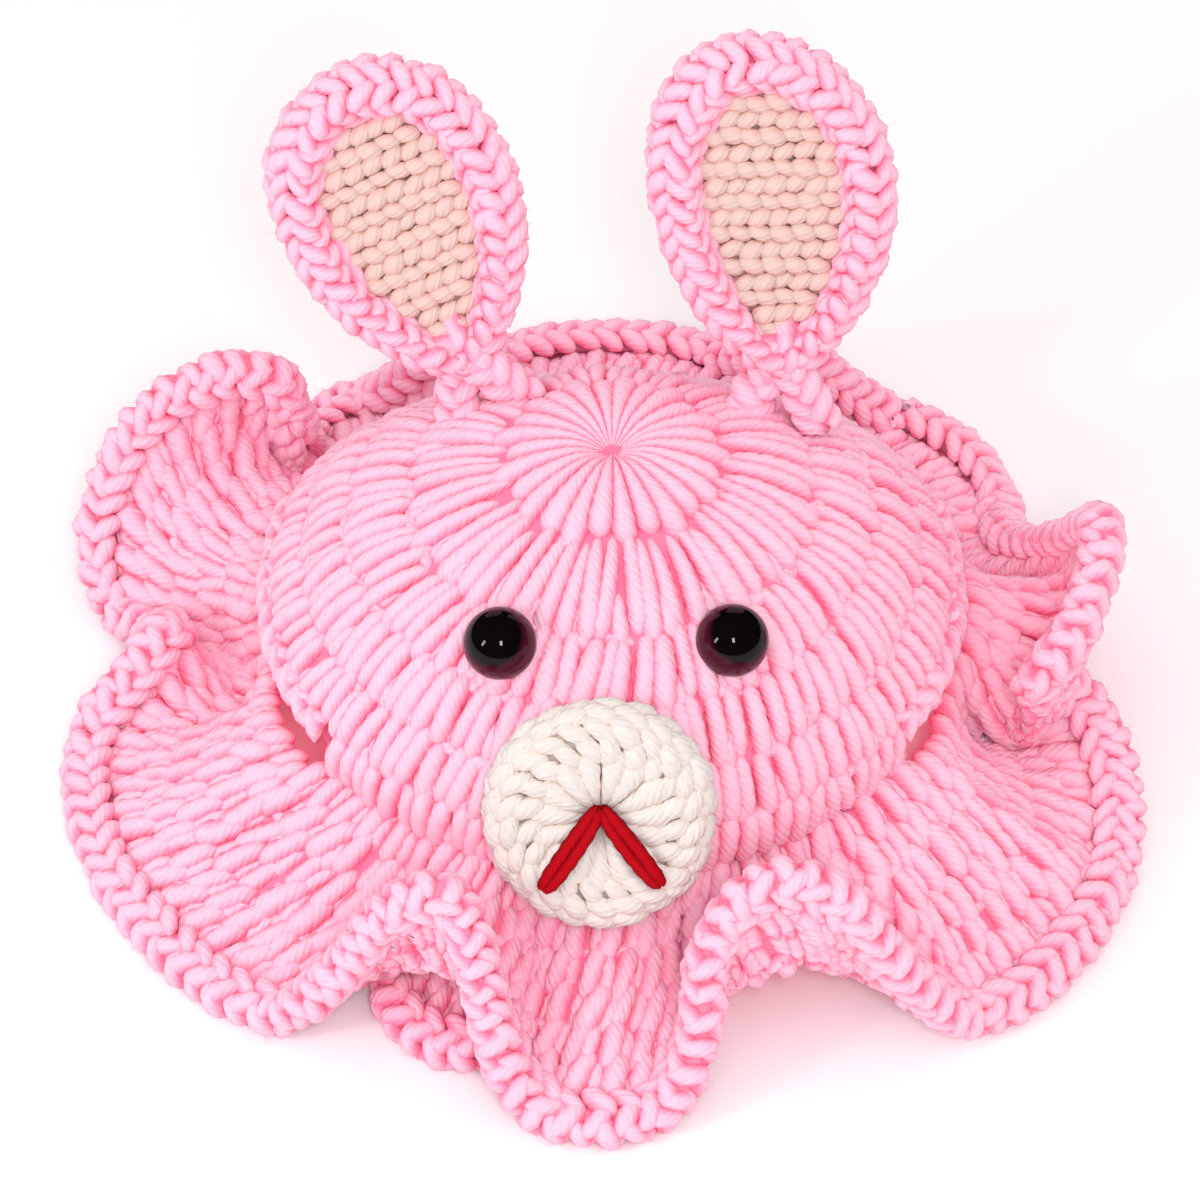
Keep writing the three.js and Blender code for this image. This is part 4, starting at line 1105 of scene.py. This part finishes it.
def make_fuzz(name, parts, count, material):
    """Loose fibres that stand off the yarn."""
    points = np.concatenate([part["vertices"] for part in parts if "outward" in part])
    outward = np.concatenate([part["outward"] for part in parts if "outward" in part])
    chosen = RANDOM.choice(len(points), count, replace=False)
    root, out = points[chosen], outward[chosen]
    half = RANDOM.uniform(*FIBRE_LENGTHS, (count, 1)) / 2
    first = unit(out + RANDOM.normal(0, 0.5, (count, 3)))
    second = unit(first + RANDOM.normal(0, 0.7, (count, 3)))
    bend = root + first * half
    line = np.stack([root - first * FIBRE_ROOT, bend, bend + second * half], 1)
    across = unit(np.cross(first, RANDOM.normal(0, 1, (count, 3))))
    over = np.cross(first, across)
    turn = once_round(FIBRE_SIDES)[None, :, None]
    wheel = across[:, None] * np.cos(turn) + over[:, None] * np.sin(turn)
    vertices = line[:, :, None] + FIBRE_RADII[None, :, None, None] * wheel[:, None]
    quads = ring_quads(len(FIBRE_RADII), FIBRE_SIDES)
    caps = np.array([[2, 1, 0], [6, 7, 8]])
    size = len(FIBRE_RADII) * FIBRE_SIDES
    mesh = {
        "vertices": vertices.reshape(-1, 3),
        "size": size,
        "quads": repeat_faces(quads, count, size),
        "triangles": repeat_faces(caps, count, size),
        "quad_uv": np.tile(SQUARE, (count * len(quads), 1, 1)),
        "triangle_uv": np.tile(SQUARE[:3], (count * len(caps), 1, 1)),
        "shade": np.full(count * size, 0.9),
        "own": np.full(count * size, 0.5),
    }
    make_piece(name, [mesh], material)


# Materials

def principled(name, inputs):
    """A new material whose shader has the given inputs."""
    material = bpy.data.materials.new(name)
    material.use_nodes = True
    for key, value in inputs.items():
        material.node_tree.nodes["Principled BSDF"].inputs[key].default_value = value
    return material


def add_ramp(nodes, links, value, colours, shader):
    """Colours the shader by a value: colours lists places from 0 to 1 and their colours."""
    ramp = nodes.new("ShaderNodeValToRGB")
    for element, (position, colour) in zip(ramp.color_ramp.elements, colours):
        element.position = position
        element.color = (*colour, 1)
    links.new(value, ramp.inputs["Fac"])
    links.new(ramp.outputs["Color"], shader.inputs["Base Color"])


def attribute(nodes, key):
    node = nodes.new("ShaderNodeAttribute")
    node.attribute_name = key
    return node.outputs["Fac"]


# The yarn's look: places on the ramp where deep and light are full, the deep colour being painted shade for
# the crevices and the light one the lit tops, how much the mottling, each strand's own tone and the waves
# of its fibres change it, waves round a strand, relief in metres
RAMP_DEEP, RAMP_LIGHT = 0.15, 0.85
MOTTLE, OWN_TONE, WAVE_TONE = 0.35, 0.12, 0.05
MOTTLE_SCALE = 420
WAVES_ROUND = 8
FIBRES_ROUND, FIBRES_ALONG, FIBRES_APART = 46.0, 5.0, 50.0
WAVE_HEIGHT, FIBRE_HEIGHT = 0.5, 0.9
YARN_RELIEF = 0.0004
YARN_SHADER = {"Roughness": 0.85, "Sheen Weight": 0.12, "Sheen Roughness": 0.4,
               "Specular IOR Level": 0.1}


def yarn(name, deep, light):
    """Soft spun yarn with fine twisted fibres. Its colour is painted shade, deep in the crevices and light
    on the tops.
    """
    material = principled(name, {**YARN_SHADER, "Sheen Tint": (*light, 1)})
    nodes, links = material.node_tree.nodes, material.node_tree.links
    shader = nodes["Principled BSDF"]

    def calc(kind, *values):
        node = nodes.new("ShaderNodeMath")
        node.operation = kind
        for socket, value in zip(node.inputs, values):
            if isinstance(value, (int, float)):
                socket.default_value = value
            else:
                links.new(value, socket)
        return node.outputs[0]

    def noise(scale, detail, vector):
        node = nodes.new("ShaderNodeTexNoise")
        node.inputs["Scale"].default_value = scale
        node.inputs["Detail"].default_value = detail
        links.new(vector, node.inputs["Vector"])
        return node.outputs["Fac"]

    own = attribute(nodes, "own")
    mottle = noise(MOTTLE_SCALE, 3, nodes.new("ShaderNodeTexCoord").outputs["Object"])
    uv = nodes.new("ShaderNodeUVMap")
    uv.uv_map = "strand"
    split = nodes.new("ShaderNodeSeparateXYZ")
    links.new(uv.outputs["UV"], split.inputs[0])
    waves = calc("SINE", calc("MULTIPLY", split.outputs["X"], 2 * math.pi * WAVES_ROUND))
    varied = attribute(nodes, "shade")
    for value, amount in ((mottle, MOTTLE), (own, OWN_TONE)):
        varied = calc("ADD", varied, calc("MULTIPLY", calc("SUBTRACT", value, 0.5), amount))
    # The waves also make the yarn lighter where its relief stands high: painted shade that follows the
    # bumps
    varied = calc("ADD", varied, calc("MULTIPLY", waves, WAVE_TONE))
    add_ramp(nodes, links, varied, ((RAMP_DEEP, deep), (RAMP_LIGHT, light)), shader)
    stretch = nodes.new("ShaderNodeCombineXYZ")
    places = ((split.outputs["X"], FIBRES_ROUND), (split.outputs["Y"], FIBRES_ALONG), (own, FIBRES_APART))
    for socket, (value, amount) in zip(stretch.inputs, places):
        links.new(calc("MULTIPLY", value, amount), socket)
    fibres = noise(1, 2, stretch.outputs[0])
    height = calc("ADD", calc("MULTIPLY", waves, WAVE_HEIGHT), calc("MULTIPLY", fibres, FIBRE_HEIGHT))
    bump = nodes.new("ShaderNodeBump")
    bump.inputs["Strength"].default_value = 0.4
    bump.inputs["Distance"].default_value = YARN_RELIEF
    links.new(height, bump.inputs["Height"])
    links.new(bump.outputs["Normal"], shader.inputs["Normal"])
    return material


# Black, then the wine red of the rim, which is partly a painted reflection of the pink yarn
EYE_COLOURS = ((0.25, (0.003, 0.002, 0.003)), (0.9, (0.06, 0.006, 0.016)))


def eye_plastic():
    """Polished black plastic that turns wine red towards its rim. The rim is partly the plastic's own edge
    and partly a painted reflection of the pink yarn round it.
    """
    material = principled("eye_plastic", {"Roughness": 0.05, "Specular IOR Level": 0.2})
    nodes, links = material.node_tree.nodes, material.node_tree.links
    add_ramp(nodes, links, attribute(nodes, "shade"), EYE_COLOURS, nodes["Principled BSDF"])
    return material


def washer_plastic():
    return principled("washer_plastic", {"Base Color": (0.8, 0.78, 0.74, 1), "Roughness": 0.4})


# Stage

CAMERA_TARGET = np.array([-2.5, 0.0, 30.0])
CAMERA_ELEVATION = 47.0
CAMERA_DISTANCE = 900.0
CAMERA_LENS = 125.0


def make_camera():
    angle = math.radians(CAMERA_ELEVATION)
    forward = np.array([0, math.cos(angle), -math.sin(angle)])
    place = (CAMERA_TARGET - forward * CAMERA_DISTANCE + AXIS) * MM
    data = bpy.data.cameras.new("camera")
    data.lens = CAMERA_LENS
    data.sensor_width = 36
    data.clip_end = 20
    camera = bpy.data.objects.new("camera", data)
    camera.location = Vector(place)
    camera.rotation_euler = Vector(forward).to_track_quat("-Z", "Y").to_euler()
    bpy.context.scene.collection.objects.link(camera)
    bpy.context.scene.camera = camera


def make_floor():
    bpy.ops.mesh.primitive_plane_add(size=6)
    floor = bpy.context.object
    floor.name = "floor"
    white = principled("floor_white", {"Base Color": (0.94, 0.94, 0.94, 1), "Roughness": 0.9})
    floor.data.materials.append(white)


# Lamps: kind, place, size across and along, power and colour. The windows give the eyes their lights,
# the sky is a broad soft light from above, and the last stands for light that comes through the yarn.
LAMPS = {
    "window_left": ("AREA", (-0.75, -0.43, 0.5), 0.12, 0.27, 1.9, (1, 1, 1)),
    "window_front": ("AREA", (0.06, -0.66, 0.74), 0.12, 0.22, 2.4, (1, 1, 1)),
    "sky": ("SUN", (0.0, -0.25, 1.2), 0, 0, 0.5, (1, 1, 1)),
    "through_yarn": ("POINT", (0.003, 0.005, 0.04), 0, 0, 0.05, (1, 0.12, 0.25)),
}
SKY_SPREAD = math.radians(70)


def make_lights():
    world = bpy.data.worlds.new("studio")
    world.use_nodes = True
    background = world.node_tree.nodes["Background"]
    background.inputs["Color"].default_value = (1, 0.93, 0.95, 1)
    background.inputs["Strength"].default_value = 0.8
    bpy.context.scene.world = world
    world.cycles_visibility.glossy = False  # the room round the table is too dim to show in the eyes
    for name, (kind, place, across, along, power, colour) in LAMPS.items():
        data = bpy.data.lights.new(name, kind)
        if kind == "AREA":
            data.shape = "RECTANGLE"
            data.size, data.size_y = across, along
        elif kind == "SUN":
            data.angle = SKY_SPREAD
        else:
            data.shadow_soft_size = 0.02
        data.energy = power
        data.color = colour
        lamp = bpy.data.objects.new(name, data)
        lamp.location = place
        lamp.visible_glossy = kind == "AREA"
        aim = Vector((0, 0, 0.04)) - Vector(place)
        lamp.rotation_euler = aim.to_track_quat("-Z", "Y").to_euler()
        bpy.context.scene.collection.objects.link(lamp)
    bpy.context.scene.view_settings.view_transform = "Standard"


make_camera()
make_floor()
make_lights()

# Each yarn goes from its deep colour, painted shade for the crevices, to its light colour on the tops. The
# cream's deep colour is lighter than its light one: painted light that brightens its crevices.
pink = yarn("pink_yarn", (1.0, 0.25, 0.41), (1.0, 0.56, 0.70))
peach = yarn("peach_yarn", (0.8, 0.5, 0.43), (0.76, 0.57, 0.52))
cream = yarn("cream_yarn", (0.9, 0.8, 0.73), (0.76, 0.71, 0.67))
red = yarn("red_yarn", (0.25, 0.0, 0.003), (0.46, 0.002, 0.008))
eye_black = eye_plastic()
washer_white = washer_plastic()

pink_parts = make_crown(pink)
brim_parts, brim_fabric, brim_work = make_brim(pink)
hem_parts, hem = make_hem(pink)
pink_parts += brim_parts + hem_parts
for ear in EARS:
    pink_parts += make_ear(ear, pink)
    make_lining(ear, peach)
cream_parts = make_muzzle(cream)
for name, x, y in MOUTH_ENDS:
    make_mouth(name, x, y, red)
for name, azimuth in EYES:
    make_eye(name, azimuth, eye_black)
make_fuzz("pink_fuzz", pink_parts, PINK_FIBRES, pink)
make_fuzz("cream_fuzz", cream_parts, CREAM_FIBRES, cream)
for name in ("eye_washer_left", "eye_washer_right"):
    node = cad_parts[name]
    node.data.materials.clear()
    node.data.materials.append(washer_white)
